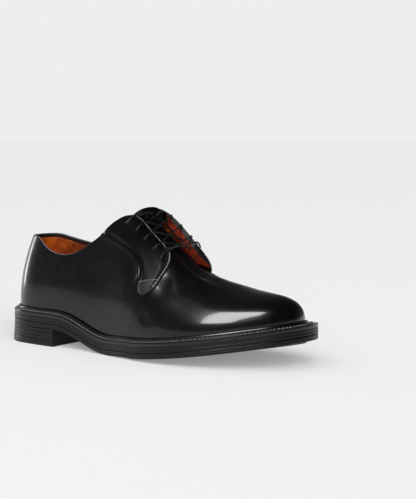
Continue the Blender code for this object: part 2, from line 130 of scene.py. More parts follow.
# Turns of the stations round the sole, heel to toe
SOLE_TURNS = np.linspace(0.0, math.pi, 171)

# Half widths of the last's bottom line, as shares of the ball width
BOTTOM_LINE = (
    # along, outer, inner
    (0.05, 0.258, 0.258),
    (0.12, 0.314, 0.314),
    (0.22, 0.342, 0.322),
    (0.33, 0.372, 0.285),
    (0.43, 0.414, 0.268),
    (0.53, 0.470, 0.330),
    (0.62, 0.515, 0.415),
    (0.70, 0.530, 0.472),
    (0.78, 0.508, 0.478),
    (0.86, 0.431, 0.431),
    (0.93, 0.318, 0.328),
    (0.975, 0.212, 0.218),
)

# Ridge over the foot: height as a share of the instep height, shift as a share of the ball width
RIDGE = (
    # along, height, shift
    (0.10, 1.080, 0.000),
    (0.25, 1.120, 0.010),
    (0.37, 1.110, 0.025),
    (0.44, 1.060, 0.050),
    (0.50, 0.990, 0.062),
    (0.56, 0.885, 0.068),
    (0.62, 0.755, 0.064),
    (0.67, 0.655, 0.058),
    (0.72, 0.575, 0.050),
    (0.77, 0.524, 0.048),
    (0.84, 0.487, 0.045),
    (0.92, 0.468, 0.040),
)

# Shape of the side: how far up it stays steep, how far out the top stays flat, and its swell
FULLNESS = (
    # along, side, top, swell
    (0.00, 0.40, 0.42, 0.040),
    (0.20, 0.42, 0.45, 0.042),
    (0.36, 0.48, 0.52, 0.035),
    (0.50, 0.55, 0.68, 0.032),
    (0.62, 0.54, 0.64, 0.036),
    (0.80, 0.58, 0.62, 0.035),
    (1.00, 0.64, 0.68, 0.030),
)

# Edge of the opening: how far up the side it runs, 1 being the ridge
COLLAR_EDGE = (
    # along, outer, inner
    (0.000, 0.500, 0.500),
    (0.050, 0.497, 0.494),
    (0.088, 0.484, 0.474),
    (0.139, 0.424, 0.445),
    (0.194, 0.376, 0.416),
    (0.239, 0.364, 0.404),
    (0.280, 0.384, 0.418),
    (0.335, 0.455, 0.480),
    (0.382, 0.548, 0.575),
    (0.433, 0.702, 0.730),
    (0.470, 0.772, 0.800),
    (0.532, 0.762, 0.796),
    (0.620, 0.752, 0.786),
    (0.700, 0.750, 0.780),
    (1.000, 0.750, 0.750),
)

# Rear and front edges of a facing, from the collar down to the tab
FACING_EDGES = (
    # down, rear along, rear rise, front along, front rise
    (0.00, 0.382, 0.548, 0.466, 0.790),
    (0.18, 0.430, 0.532, 0.528, 0.790),
    (0.36, 0.478, 0.522, 0.580, 0.780),
    (0.52, 0.522, 0.512, 0.612, 0.742),
    (0.66, 0.550, 0.476, 0.627, 0.670),
    (0.80, 0.562, 0.400, 0.629, 0.560),
    (0.91, 0.560, 0.322, 0.621, 0.425),
    (1.00, 0.572, 0.282, 0.606, 0.325),
)

# Eyelets of the outer facing
EYELET_LINE = (
    # pair, along, rise
    (0.0, 0.464, 0.690),
    (1.0, 0.502, 0.672),
    (2.0, 0.537, 0.658),
    (3.0, 0.572, 0.650),
    (4.0, 0.601, 0.639),
)

# How far the inner facing's front edge stands off the foot, from the collar down to the tab, in metres
FLARE = (
    # down, height
    (0.00, 0.0045),
    (0.15, 0.0042),
    (0.30, 0.0024),
    (0.45, 0.0016),
    (0.60, 0.0026),
    (0.75, 0.0036),
    (0.87, 0.0028),
    (0.95, 0.0010),
    (1.00, 0.0000),
)
FLARE_WIDTH = 0.014

# Depth of the hollow where the vamp runs back into the tongue, in metres
HOLLOW_DEPTH = (
    # along, depth
    (0.560, 0.0066),
    (0.600, 0.0074),
    (0.630, 0.0078),
    (0.660, 0.0078),
    (0.690, 0.0062),
    (0.715, 0.0038),
    (0.745, 0.0018),
    (0.780, 0.0004),
    (0.820, 0.0000),
)

# Dents of the leather: depth in metres, the rest in shares of the last
THROAT_DENT = {
    # along, width, rise, height, depth
    OUTER: (0.640, 0.026, 0.52, 0.18, -0.0008),
    INNER: (0.635, 0.035, 0.66, 0.16, -0.0034),
}
VAMP_DENTS = (
    (0.690, 0.020, 0.62, 0.12, -0.0010),
    (0.60, 0.030, 0.16, 0.07, -0.0007),
)

# Stitches of each seam, in metres but for the fill, the share of the pitch that the thread covers
SEAMS = {
    # pitch, fill, radius, lift
    "lining": (0.0027, 0.62, 0.00034, 0.0003),
    "tab": (0.0019, 0.60, 0.00036, 0.00024),
    "bar tack": (0.0024, 0.80, 0.0006, 0.0003),
    "welt": (0.0034, 0.74, 0.00065, 0.0004),
    "sole": (0.0040, 0.70, 0.0004, 0.0002),
}

# Depth of the tongue's middle under the last, in metres
TONGUE_DEPTH = (
    # along, depth
    (0.430, 0.0005),
    (0.460, 0.0030),
    (0.500, 0.0062),
    (0.560, 0.0070),
    (0.600, 0.0075),
    (0.700, 0.0075),
)


def smooth_curve(knots, values):
    """The natural cubic spline through these values."""
    x, y = np.asarray(knots, float), np.asarray(values, float)
    h = np.diff(x)
    n = len(x)
    a = np.eye(n)
    b = np.zeros(n)
    for i in range(1, n - 1):
        a[i, i - 1 : i + 2] = h[i - 1], 2 * (h[i - 1] + h[i]), h[i]
        b[i] = 6 * ((y[i + 1] - y[i]) / h[i] - (y[i] - y[i - 1]) / h[i - 1])
    bend = np.linalg.solve(a, b)

    def value(at):
        at = np.clip(np.asarray(at, float), x[0], x[-1])
        i = np.clip(np.searchsorted(x, at) - 1, 0, n - 2)
        left, right = (x[i + 1] - at) / h[i], (at - x[i]) / h[i]
        cubic = (left**3 - left) * bend[i] + (right**3 - right) * bend[i + 1]
        return left * y[i] + right * y[i + 1] + cubic * h[i] ** 2 / 6

    return value


def column_curve(table, column, scale=1.0):
    return smooth_curve([row[0] for row in table], [row[column] * scale for row in table])


def ease(t):
    """0 to 1 with level ends and no kink in the curvature."""
    t = np.clip(t, 0.0, 1.0)
    return t**3 * (t * (6 * t - 15) + 10)


def soft_min(a, b, width):
    return (a + b - np.sqrt((a - b) ** 2 + width**2)) / 2


def turn_of(along):
    """The angle round the last's half outline, 0 at the heel and pi at the toe."""
    return np.arccos(np.clip(1 - 2 * np.asarray(along, float), -1.0, 1.0))


def along_of(turn):
    return (1 - np.cos(turn)) / 2


def outline_curve(column):
    """Half width over the sine of the turn, so that heel and toe close in round ends."""
    turns = [0.0] + [float(turn_of(row[0])) for row in BOTTOM_LINE] + [math.pi]
    ends = [math.sqrt(radius * LAST_LENGTH / 2) for radius in (HEEL_RADIUS, TOE_RADIUS)]
    inside = [row[column] * BALL_WIDTH / math.sin(turn_of(row[0])) for row in BOTTOM_LINE]
    return smooth_curve(turns, [ends[0]] + inside + [ends[1]])


HALF_WIDTH = {OUTER: outline_curve(1), INNER: outline_curve(2)}
RIDGE_HEIGHT = column_curve(RIDGE, 1, INSTEP_HEIGHT)
RIDGE_SHIFT = column_curve(RIDGE, 2, BALL_WIDTH)
SIDE_FULLNESS = column_curve(FULLNESS, 1)
TOP_FULLNESS = column_curve(FULLNESS, 2)
SWELL = column_curve(FULLNESS, 3, BALL_WIDTH)
COLLAR = {OUTER: column_curve(COLLAR_EDGE, 1), INNER: column_curve(COLLAR_EDGE, 2)}
FACING_CURVES = [column_curve(FACING_EDGES, column) for column in range(1, 5)]
EYELET_ALONG = column_curve(EYELET_LINE, 1)
EYELET_RISE = column_curve(EYELET_LINE, 2)
FLARE_HEIGHT = column_curve(FLARE, 1)
HOLLOW = column_curve(HOLLOW_DEPTH, 1)
TONGUE_DROP = column_curve(TONGUE_DEPTH, 1)
EDGE_WIDTH = smooth_curve(
    (0.0, 0.2, 0.45, 0.7, 1.0),
    (EDGE_HEEL, EDGE_WAIST, EDGE_WAIST, EDGE_BALL, EDGE_TOE),
)


def stack(*parts):
    return np.stack(np.broadcast_arrays(*parts), axis=-1)


def unit(vectors):
    return vectors / np.maximum(np.linalg.norm(vectors, axis=-1, keepdims=True), 1e-12)


def sole_bottom(x):
    """Height of the outsole's underside along its middle, x from the sole's back edge."""
    shank = 1 - ease((x - HEEL_LENGTH + 0.006) / (TREAD_START - HEEL_LENGTH + 0.006))
    spring = np.clip((x - TREAD_END) / (SOLE_LENGTH - TREAD_END), 0.0, None) ** 1.25
    return HEEL_HEIGHT * shank + TOE_SPRING * spring


def edge_bottom(x):
    return sole_bottom(x) + CROWN * ease((x - TREAD_START + 0.3 * CROWN_LENGTH) / CROWN_LENGTH)


def seat_height(x):
    return edge_bottom(x) + STACK


def swing(along):
    return TOE_SWING * ease((along - 0.45) / 0.55)


def bottom_line(side, turn):
    turn = np.asarray(turn, float)
    along = along_of(turn)
    x = EDGE_HEEL + LAST_LENGTH * along
    return stack(x, swing(along) + side * HALF_WIDTH[side](turn) * np.sin(turn), seat_height(x))


def outward(side, turn):
    """Level unit vectors out of the bottom line."""
    turn = np.asarray(turn, float)
    step = 1e-4
    ahead, behind = np.minimum(turn + step, math.pi), np.maximum(turn - step, 0.0)
    run = unit((bottom_line(side, ahead) - bottom_line(side, behind))[..., :2])
    normal = stack(-run[..., 1] * side, run[..., 0] * side, 0.0)
    ends = (turn < 1e-6) | (turn > math.pi - 1e-6)
    return np.where(ends[..., None], stack(-np.cos(turn), 0.0, 0.0), normal)


def ridge_at(turn):
    """Points of the ridge over these turns, and its slope there."""
    along = soft_min(along_of(np.asarray(turn, float)), RIDGE_TOE_END, RIDGE_BLEND)
    along = -soft_min(-along, -RIDGE_HEEL_END, RIDGE_BLEND)
    step = 1e-3
    slope = (RIDGE_HEIGHT(along + step) - RIDGE_HEIGHT(along - step)) / (2 * step * LAST_LENGTH)
    x = EDGE_HEEL + LAST_LENGTH * along
    return stack(x, swing(along) + RIDGE_SHIFT(along), RIDGE_HEIGHT(along)), slope


def last_point(side, turn, rise):
    """Points of the last: rise runs from 0 at the bottom line to 1 on the ridge."""
    turn, rise = np.broadcast_arrays(np.asarray(turn, float), np.asarray(rise, float))
    along = along_of(turn)
    foot = bottom_line(side, turn)
    top, slope = ridge_at(turn)
    reach = (foot - top) * TOP_FULLNESS(along)[..., None]
    steep = foot + outward(side, turn) * SWELL(along)[..., None]
    steep[..., 2] += (top[..., 2] - foot[..., 2]) * SIDE_FULLNESS(along)
    flat = top + stack(reach[..., 0], reach[..., 1], slope * reach[..., 0])
    r = rise[..., None]
    k = 1 - r
    return k**3 * foot + 3 * k**2 * r * steep + 3 * k * r**2 * flat + r**3 * top


def last_normal(side, turn, rise):
    turn, rise = np.broadcast_arrays(np.asarray(turn, float), np.asarray(rise, float))
    step = 1e-3
    low_turn, high_turn = np.maximum(turn - step, 1e-4), np.minimum(turn + step, math.pi - 1e-4)
    low_rise, high_rise = np.maximum(rise - step, 0.0), np.minimum(rise + step, 1.0)
    round_ = last_point(side, high_turn, rise) - last_point(side, low_turn, rise)
    up = last_point(side, turn, high_rise) - last_point(side, turn, low_rise)
    normal = unit(np.cross(round_, up) * -side)
    slope = ridge_at(turn)[1]
    return np.where((rise > 1 - 1e-6)[..., None], unit(stack(-slope, 0.0, 1.0)), normal)


def skin(side, turn, rise, offset):
    """Points at this distance outside the last, the same from both sides where they meet."""
    turn, rise, offset = np.broadcast_arrays(*(np.asarray(v, float) for v in (turn, rise, offset)))
    normal = last_normal(side, turn, rise)
    seam = (turn < 1e-6) | (turn > math.pi - 1e-6)
    normal = np.where(seam[..., None], unit(normal + last_normal(-side, turn, rise)), normal)
    points = last_point(side, turn, rise) + normal * offset[..., None]
    level = bottom_line(side, turn) + outward(side, turn) * offset[..., None]
    level[..., 2] = seat_height(level[..., 0]) + SEAM_GAP
    return np.where((rise < 1e-6)[..., None], level, points)


def edge_width(turn):
    return EDGE_WIDTH(along_of(turn))


def edge_line(side, turn, inset):
    """The sole's outline in plan, at this inset."""
    return (bottom_line(side, turn) + outward(side, turn) * stack(edge_width(turn) - inset))[..., :2]


def spread(stops, counts):
    """Values from one stop to the next, evenly spaced, with this many steps between each two."""
    values = [np.array([stops[0]])]
    for start, end, count in zip(stops, stops[1:], counts):
        values.append(np.linspace(start, end, count + 1)[1:])
    return np.concatenate(values)


def place_in_frame(points):
    return points + np.array([BACK_EDGE, MIDDLE_LINE, 0.0])


class Shape:
    """Grids of points that make up one piece."""

    def __init__(self):
        self.points, self.faces, self.marks, self.heights, self.count = [], [], [], [], 0

    def grid(self, places, mark=0, closed=False, heights=0.0):
        """Quads over rows and columns of points. mark is a material's number, or one for each column."""
        places = np.asarray(places, float)
        rows, columns = places.shape[:2]
        number = np.arange(rows * columns).reshape(rows, columns) + self.count
        if closed:
            number = np.concatenate([number, number[:1]])
        quads = np.stack([number[:-1, :-1], number[:-1, 1:], number[1:, 1:], number[1:, :-1]], axis=-1)
        self.points.append(places.reshape(-1, 3))
        self.faces.append(quads.reshape(-1, 4))
        self.marks.append(np.broadcast_to(mark, quads.shape[:2]).reshape(-1))
        self.heights.append(np.broadcast_to(heights, (rows, columns)).reshape(-1))
        self.count += rows * columns
        return self

    def piece(self, name, materials, slot, nodes=()):
        """Make the object, its faces turned out, its near points merged and its sharp edges marked."""
        mesh = bpy.data.meshes.new(name)
        points = place_in_frame(np.concatenate(self.points))
        mesh.from_pydata(points.tolist(), [], np.concatenate(self.faces).tolist())
        for material in materials:
            mesh.materials.append(material)
        mesh.polygons.foreach_set("material_index", np.concatenate(self.marks).astype(np.int32))
        height = mesh.attributes.new("height", "FLOAT", "POINT")
        height.data.foreach_set("value", np.concatenate(self.heights).astype(np.float32))
        thing = bpy.data.objects.new(name, mesh)
        bpy.context.scene.collection.objects.link(thing)
        work = bmesh.new()
        work.from_mesh(mesh)
        bmesh.ops.remove_doubles(work, verts=work.verts, dist=MERGE_DISTANCE)
        bmesh.ops.recalc_face_normals(work, faces=work.faces)
        for face in work.faces:
            face.smooth = True
        for edge in work.edges:
            if len(edge.link_faces) == 2 and edge.calc_face_angle(0.0) > SHARP_ANGLE:
                edge.smooth = False
        work.to_mesh(mesh)
        work.free()
        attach(thing, "root")
        if nodes:
            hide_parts(*nodes)


def tube(path, radius, sides=12):
    """Rings of points round a path, as a grid whose columns close."""
    path = np.asarray(path, float)
    along = unit(np.gradient(path, axis=0))
    up = np.array([0.0, 0.0, 1.0])
    out = unit(up - along * (along @ up)[:, None])
    across = np.cross(along, out)
    angles = np.linspace(0.0, 2 * math.pi, sides + 1)[None, :, None]
    ring = out[:, None] * np.cos(angles) + across[:, None] * np.sin(angles)
    return path[:, None] + ring * np.broadcast_to(radius, (len(path),))[:, None, None]


def lengths(path):
    """Distance travelled at each point of a path."""
    return np.concatenate([[0.0], np.cumsum(np.linalg.norm(np.diff(path, axis=0), axis=1))])


def resampled(path, at):
    travelled = lengths(path)
    return np.stack([np.interp(at, travelled, path[:, axis]) for axis in range(path.shape[1])], axis=-1)


def stitches(shape, path, normals, pitch, fill, radius, lift):
    """Thread stitches along a path: each rises out of its hole and dips back into the next."""
    total = lengths(path)[-1]
    count = max(1, int(round(total / pitch)))
    step = total / count
    dip = np.array([-0.9, 0.35, 1.0, 1.0, 0.35, -0.9])
    swell = np.array([0.45, 0.9, 1.0, 1.0, 0.9, 0.45])
    for k in range(count):
        at = (k + 0.5 + np.linspace(-0.5, 0.5, len(dip)) * fill) * step
        points = resampled(path, at)
        normal = unit(resampled(np.concatenate([path, normals], axis=1), at)[:, 3:])
        shape.grid(tube(points + normal * (dip * lift)[:, None], radius * swell, 6))


def linear(hex_colour):
    """An sRGB hex value as a linear colour."""
    values = (int(hex_colour[i : i + 2], 16) / 255 for i in (0, 2, 4))
    return (*(v / 12.92 if v <= 0.04045 else ((v + 0.055) / 1.055) ** 2.4 for v in values), 1.0)


def add_node(tree, kind, inputs=None, **settings):
    """Add a node with its settings. Each input is given a value, or another node's output to link from."""
    made = tree.nodes.new(kind)
    for name, value in settings.items():
        setattr(made, name, value)
    for name, value in (inputs or {}).items():
        if isinstance(value, bpy.types.NodeSocket):
            tree.links.new(value, made.inputs[name])
        else:
            made.inputs[name].default_value = value
    return made


def new_material(name):
    """A material with an empty tree, its output and the coordinates of the shoe in metres."""
    material = bpy.data.materials.new(name)
    material.use_nodes = True
    tree = material.node_tree
    tree.nodes.clear()
    place = add_node(tree, "ShaderNodeTexCoord").outputs["Object"]
    return material, tree, place


def finish_material(tree, tone, bumps, **inputs):
    """End a material: two shades mixed by a factor, bumps over one another, the shader and the output."""
    factor, dark, light = tone
    shades = {"Factor": factor, "A": linear(dark), "B": linear(light)}
    inputs["Base_Color"] = add_node(tree, "ShaderNodeMix", shades, data_type="RGBA").outputs["Result"]
    for height, distance, strength in bumps:
        relief = {"Height": height, "Distance": distance, "Strength": strength}
        if "Normal" in inputs:
            relief["Normal"] = inputs["Normal"]
        inputs["Normal"] = add_node(tree, "ShaderNodeBump", relief).outputs["Normal"]
    sockets = {name.replace("_", " "): value for name, value in inputs.items()}
    shader = add_node(tree, "ShaderNodeBsdfPrincipled", sockets)
    add_node(tree, "ShaderNodeOutputMaterial", {"Surface": shader.outputs["BSDF"]})


def millimetres(size):
    """The scale of a noise whose marks are about this wide in the real thing."""
    return 1000.0 / size


def polished_calf(look, name, coat, gloss, roughness):
    """Box calf, chrome tanned, glazed and waxed: nearly black, fine pores under a clear wax coat."""
    material, tree, place = new_material(name)
    tone, wax, soft, grain = (
        add_node(tree, "ShaderNodeTexNoise", {"Vector": place, "Scale": millimetres(mm), "Detail": detail})
        for mm, detail in ((30, 3.0), (14, 4.0), (16, 1.0), (2.2, 3.0))
    )
    # Pores are 0.2 mm apart and are drawn at 0.9 mm, because finer ones don't show
    pores = add_node(tree, "ShaderNodeTexVoronoi", {"Vector": place, "Scale": millimetres(look.pore_size)})
    worn = {"Value": wax.outputs["Fac"], "From Min": 0.3, "From Max": 0.7}
    worn.update({"To Min": roughness - 0.04, "To Max": roughness + 0.04})
    finish_material(
        tree,
        (tone.outputs["Fac"], "020202", "08080A"),
        (
            (soft.outputs["Fac"], 0.0004, 0.4),
            (grain.outputs["Fac"], 0.00003, 0.4),
            (pores.outputs["Distance"], 0.00002, 0.5),
        ),
        Roughness=add_node(tree, "ShaderNodeMapRange", worn).outputs["Result"],
        IOR=1.5,
        Specular_IOR_Level=gloss,
        Coat_Weight=coat,
        Coat_Roughness=0.1,
    )
    return material


def plain_leather(name, dark, light, roughness, grain, depth, gloss=0.5):
    """Leather with an open or rubbed face: two shades in clouds, and a grain in millimetres."""
    material, tree, place = new_material(name)
    cloud, pebble = (
        add_node(tree, "ShaderNodeTexNoise", {"Vector": place, "Scale": millimetres(mm), "Detail": detail})
        for mm, detail in ((9, 5.0), (grain, 3.0))
    )
    shade = {"Value": cloud.outputs["Fac"], "From Min": 0.36, "From Max": 0.64}
    rub = {"Value": pebble.outputs["Fac"], "To Min": roughness - 0.06, "To Max": roughness + 0.06}
    finish_material(
        tree,
        (add_node(tree, "ShaderNodeMapRange", shade).outputs["Result"], dark, light),
        ((pebble.outputs["Fac"], depth, 0.7),),
        Roughness=add_node(tree, "ShaderNodeMapRange", rub).outputs["Result"],
        IOR=1.5,
        Specular_IOR_Level=gloss,
    )
    return material


def layered_edge():
    """Stacked sole leather, trimmed, inked black and waxed with a hot iron: fine lines between layers."""
    material, tree, place = new_material("inked_sole_edge")
    wander, fibre = (
        add_node(tree, "ShaderNodeTexNoise", {"Vector": place, "Scale": millimetres(mm), "Detail": detail})
        for mm, detail in ((12, 2.0), (1.5, 4.0))
    )
    height = add_node(tree, "ShaderNodeAttribute", attribute_name="height").outputs["Fac"]
    # Fibre lines are 0.3 mm apart, wander by 0.6 mm and are drawn at 1.1 mm
    wandering = {0: wander.outputs["Fac"], 1: 0.0006, 2: height}
    shift = add_node(tree, "ShaderNodeMath", wandering, operation="MULTIPLY_ADD")
    lines = {0: shift.outputs[0], 1: 2 * math.pi / 0.0011}
    wave = add_node(tree, "ShaderNodeMath", lines, operation="MULTIPLY")
    wave = add_node(tree, "ShaderNodeMath", {0: wave.outputs[0]}, operation="SINE")
    finish_material(
        tree,
        (fibre.outputs["Fac"], "030303", "090808"),
        ((wave.outputs[0], 0.00003, 0.8), (fibre.outputs["Fac"], 0.00012, 0.5)),
        Roughness=0.42,
        IOR=1.5,
        Specular_IOR_Level=0.24,
        Coat_Weight=0.06,
        Coat_Roughness=0.2,
    )
    return material


def waxed_cotton(name, colour, roughness):
    """Round braided cotton drawn through wax: a dull glint on each ply."""
    material, tree, place = new_material(name)
    # Plies are 0.4 mm wide and are drawn at 0.9 mm
    plies = add_node(tree, "ShaderNodeTexVoronoi", {"Vector": place, "Scale": millimetres(0.9)})
    plies = plies.outputs["Distance"]
    finish_material(tree, (plies, colour, "050505"), ((plies, 0.0002, 0.8),), Roughness=roughness, IOR=1.5)
    return material


def studio_paper():
    """Matt seamless paper, pale grey. It glows faintly, painted light that keeps its shadows pale."""
    material, tree, place = new_material("studio_paper")
    fibre = add_node(tree, "ShaderNodeTexNoise", {"Vector": place, "Scale": 40.0, "Detail": 2.0})
    finish_material(
        tree,
        (fibre.outputs["Fac"], "E2E2E2", "E4E4E4"),
        (),
        Roughness=0.9,
        # Painted light: a faint glow that lifts the shadows on the paper
        Emission_Color=linear("FFFFFF"),
        Emission_Strength=0.235,
    )
    return material


def throat_hollow(side, along, rise):
    """Depth of the vamp's hollow between the facings, which leaves their edges standing."""
    if side == OUTER:
        return HOLLOW(along) * ease((rise - 0.73) / 0.19)
    # On the inner side it reaches down under the facing, in front of the throat
    top = ease((rise - 0.76) / 0.12)
    return HOLLOW(along) * (top + (1 - top) * ease((along - 0.604) / 0.016) * ease((rise - 0.52) / 0.16))


def dent(along, rise, at, width, up, height, depth):
    """A soft trough, all sizes but the depth being shares of the last."""
    return depth * np.exp(-(((along - at) / width) ** 2) - ((rise - up) / height) ** 2)


def quarter_relief(side, turn, rise):
    """The trough beside each facing's front edge, which the quarter and the facing on it share."""
    return dent(along_of(turn), rise, *THROAT_DENT[side])


def leather_relief(side, turn, rise, hollowed=True):
    """Height of the worn-in upper over the last, with or without the hollow behind the throat."""
    along = along_of(turn)
    vamp = (along > (THROAT if side == OUTER else 0.600) - 1e-9) & (np.asarray(rise) >= 0) & hollowed
    relief = quarter_relief(side, turn, rise) - np.where(vamp, throat_hollow(side, along, rise), 0.0)
    return relief + sum(dent(along, rise, *row) for row in VAMP_DENTS)


def wall_share(side, turns, edge, distance):
    """A distance below the edge, as a share of the way down to the last's bottom line."""
    return distance / np.linalg.norm(last_point(side, turns, edge) - last_point(side, turns, 0.0), axis=-1)


def make_upper(materials):
    """Vamp and quarters: outside skin, rounded topline, bound and lined inside."""
    calf, lining, binding, rim_highlight, shaded = range(5)
    steps = (90, 40, 110)
    turns = spread((0.0, float(turn_of(0.47)), float(turn_of(THROAT)), math.pi), steps)
    throat = steps[0] + steps[1]
    along = along_of(turns)
    collar = int(np.searchsorted(along, COLLAR_END))
    whole, back, front = slice(None), slice(0, throat + 1), slice(throat, None)
    over = np.linspace(0.0, 1.0, 19)[None]
    roll = np.linspace(0.0, math.pi, 7)
    shape = Shape()
    for side in SIDES:

        def lay(part, rises, mark, depth=0.0):
            turn = turns[part, None]
            shape.grid(skin(side, turn, rises, leather_relief(side, turn, rises) - depth), mark)

        edge = COLLAR[side](along)
        if side == INNER:
            # The quarter's edge lies lower where the facing stands off it
            edge = edge - 0.06 * ease((along - 0.45) / 0.03) * (1 - ease((along - 0.65) / 0.04))
        lay(whole, edge[:, None] * spread((0.0, 0.06, 1.0), (4, 44))[None], calf)
        rises_over = edge[front, None] + (1 - edge[front, None]) * over
        lay(front, rises_over, calf)
        lay(front, rises_over, lining, WALL)
        top, below = (skin(side, turns[back], edge[back] - down, -WALL / 2) for down in (0.0, 0.01))
        up = unit(top - below)
        lift = leather_relief(side, turns, edge)
        offsets = lift[back, None] - WALL / 2 + WALL / 2 * np.cos(roll)[None]
        rim = skin(side, turns[back, None], edge[back, None], offsets)
        rim += up[:, None] * (np.sin(roll) * WALL / 2)[None, :, None]
        # The folded edge is painted light grey for the line of light that it catches, which is broader on
        # the outer side
        fold = [rim_highlight] * 3 if side == OUTER else [calf, rim_highlight, binding]
        shape.grid(rim[: collar + 1], (calf, *fold, binding, binding))
        # Past the collar's end the inner rim takes the darker lining: painted shade
        shape.grid(rim[collar:], calf if side == OUTER else shaded)
        band = wall_share(side, turns, edge, BINDING_WIDTH)[:, None] * np.linspace(0.0, 1.0, 5)[None]
        band = edge[:, None] * (1 - band)
        # Past the collar's end the band below the rim takes the darker lining: painted shade
        for part, mark in ((slice(0, collar + 1), binding), (slice(collar, None), shaded)):
            lay(part, band[part], mark, WALL)
        lay(whole, band[:, -1:] * np.linspace(1.0, 0.0, 30)[None], lining, WALL)
        shape.grid(np.stack([skin(side, turns, 0.0, 0.0), skin(side, turns, 0.0, -WALL)], axis=1))
        across = (edge[throat] + (1 - edge[throat]) * over)[0]
        level = leather_relief(side, turns[throat], across)
        lip = [skin(side, turns[throat], across, level - depth) for depth in (0.0, WALL)]
        shape.grid(np.stack(lip, axis=1))
    skins = [materials[name] for name in ("calf", "lining", "binding", "rim", "shaded_lining")]
    shape.piece("upper_leather", skins, "upper_leather", ("upper",))


def make_lining_stitches(materials):
    """The row of stitches that holds the binding, inside the collar."""
    shape = Shape()
    turns = np.linspace(0.0, float(turn_of(0.43)), 300)
    for side in SIDES:
        edge = COLLAR[side](along_of(turns))
        edge = edge * (1 - wall_share(side, turns, edge, LINING_SEAM_DEPTH))
        path = skin(side, turns, edge, -WALL)
        normals = unit(skin(side, turns, edge, -WALL - NORMAL_STEP) - path)
        stitches(shape, path, normals, *SEAMS["lining"])
    shape.piece("lining_stitches", (materials["tan_thread"],), "lining_leather")


def facing_spot(side, down, share):
    """Turn and rise of a place on a facing."""
    rear_along, rear_rise, front_along, front_rise = (curve(down) for curve in FACING_CURVES)
    # The tab's corners are rounded
    close = np.clip((down - 0.955) / 0.045, 0.0, 1.0)
    share = 0.5 + (share - 0.5) * (1 - 0.55 * close**2.4)
    along = rear_along + (front_along - rear_along) * share
    rise = rear_rise + (front_rise - rear_rise) * share + (INNER_EYELET_LIFT if side == INNER else 0.0)
    return turn_of(along), np.minimum(rise, COLLAR[side](along) - 0.004)


def flare(side, down, share):
    """How far the inner facing stands off the foot, most at its front edge."""
    if side == OUTER:
        return np.zeros(np.broadcast(down, share).shape)
    front, rear = (skin(side, *facing_spot(side, down, at), 0.0) for at in (1.0, 0.0))
    width = np.linalg.norm(front - rear, axis=-1)
    return FLARE_HEIGHT(down) * ease(1 - (1 - share) * width / FLARE_WIDTH)


def facing_place(side, down, share, offset):
    """Points of a facing: down from the collar to the tab, share from its rear edge to its front one."""
    down, share = np.broadcast_arrays(np.asarray(down, float), np.asarray(share, float))
    turn, rise = facing_spot(side, down, share)
    return skin(side, turn, rise, offset + quarter_relief(side, turn, rise) + flare(side, down, share))


def lift_of_facing(side, along, rise):
    """The flare of the facing at a place on the last."""
    if side == OUTER:
        return 0.0
    down, share = np.meshgrid(np.linspace(0.0, 0.8, 81), np.linspace(0.3, 1.0, 71), indexing="ij")
    turn, up = facing_spot(side, down, share)
    nearest = np.argmin((along_of(turn) - along) ** 2 + ((up - rise) * 0.3) ** 2)
    return float(flare(side, down, share).reshape(-1)[nearest])


def facing_width(side, down):
    """Width of a facing across these places, in metres."""
    return np.linalg.norm(facing_place(side, down, 1.0, 0.0) - facing_place(side, down, 0.0, 0.0), axis=-1)


def row_on_facing(side, start, end, inset, from_front, offset, count=200):
    """A line on a facing at this inset from one of its edges, with the outward direction at each point."""
    down = np.linspace(start, end, count)
    share = inset / facing_width(side, down)
    share = 1 - share if from_front else share
    path = facing_place(side, down, share, offset)
    return path, unit(facing_place(side, down, share, offset + NORMAL_STEP) - path)


def make_facing_leather(side, word, materials):
    """The band itself, tucked under the quarter's turned edge, with its tab unglazed."""
    shape = Shape()
    tip = 0.95 + 0.05 * np.sin(np.linspace(0, math.pi / 2, 16))
    downs = np.concatenate([np.linspace(0, 0.95, 130), tip[1:]])
    shares = 0.5 - 0.5 * np.cos(np.linspace(0.0, math.pi, 64))
    flat = facing_place(side, downs[:, None], shares[None], 0.0)
    width = np.linalg.norm(flat[:, -1] - flat[:, 0], axis=-1)[:, None]
    tall = lengths(flat[:, len(shares) // 2])
    front, rear = (1 - shares[None]) * width, shares[None] * width
    edge = np.minimum(front, (tall[-1] - tall)[:, None])
    round_ = np.sqrt(1 - (1 - np.clip(edge / 0.0010, 0.0, 1.0)) ** 2)
    tucked = 0.25 + 0.75 * ease(rear / 0.0045)
    # The turned edge swells over its filler, and a groove runs beside the stitches
    swell = 0.00035 * np.exp(-(((front - 0.0016) / 0.0012) ** 2))
    swell = swell - 0.00025 * np.exp(-(((front - 0.0040) / 0.0008) ** 2))
    grid = facing_place(side, downs[:, None], shares[None], FACING_LEVEL * round_ * tucked + swell)
    rows = int(np.searchsorted(downs, TAB_START))
    shape.grid(grid[: rows + 1], 0).grid(grid[rows:], 1)
    skins = (materials["facing"], materials["tab"])
    shape.piece(f"facing_{word}_leather", skins, "upper_leather", (f"facing_{word}",))


# The quarter's turned edge beside a facing: distance from the seam and height, in metres
TURNED_EDGE = (
    (0.0, 0.0),
    (0.0001, 0.0005),
    (0.0003, 0.00095),
    (0.0007, 0.00132),
    (0.0012, 0.0014),
    (0.0018, 0.00134),
    (0.0026, 0.0011),
    (0.0036, 0.00074),
    (0.0048, 0.0004),
    (0.0062, 0.00016),
    (0.0078, 0.00004),
    (0.0095, -0.00004),
)

# Rows of stitches on a facing
STITCH_ROWS = (
    # start, end, inset, from the front edge, pitch, radius, light thread (its light colour a painted glint)
    (0.015, 0.50, 0.0013, True, 0.0024, 0.00042, True),
    (0.52, 0.93, 0.0009, True, 0.0028, 0.00070, True),
    (0.50, 0.93, 0.0036, True, 0.0024, 0.00032, False),
    (0.03, 0.90, 0.0009, False, 0.0024, 0.00026, False),
)


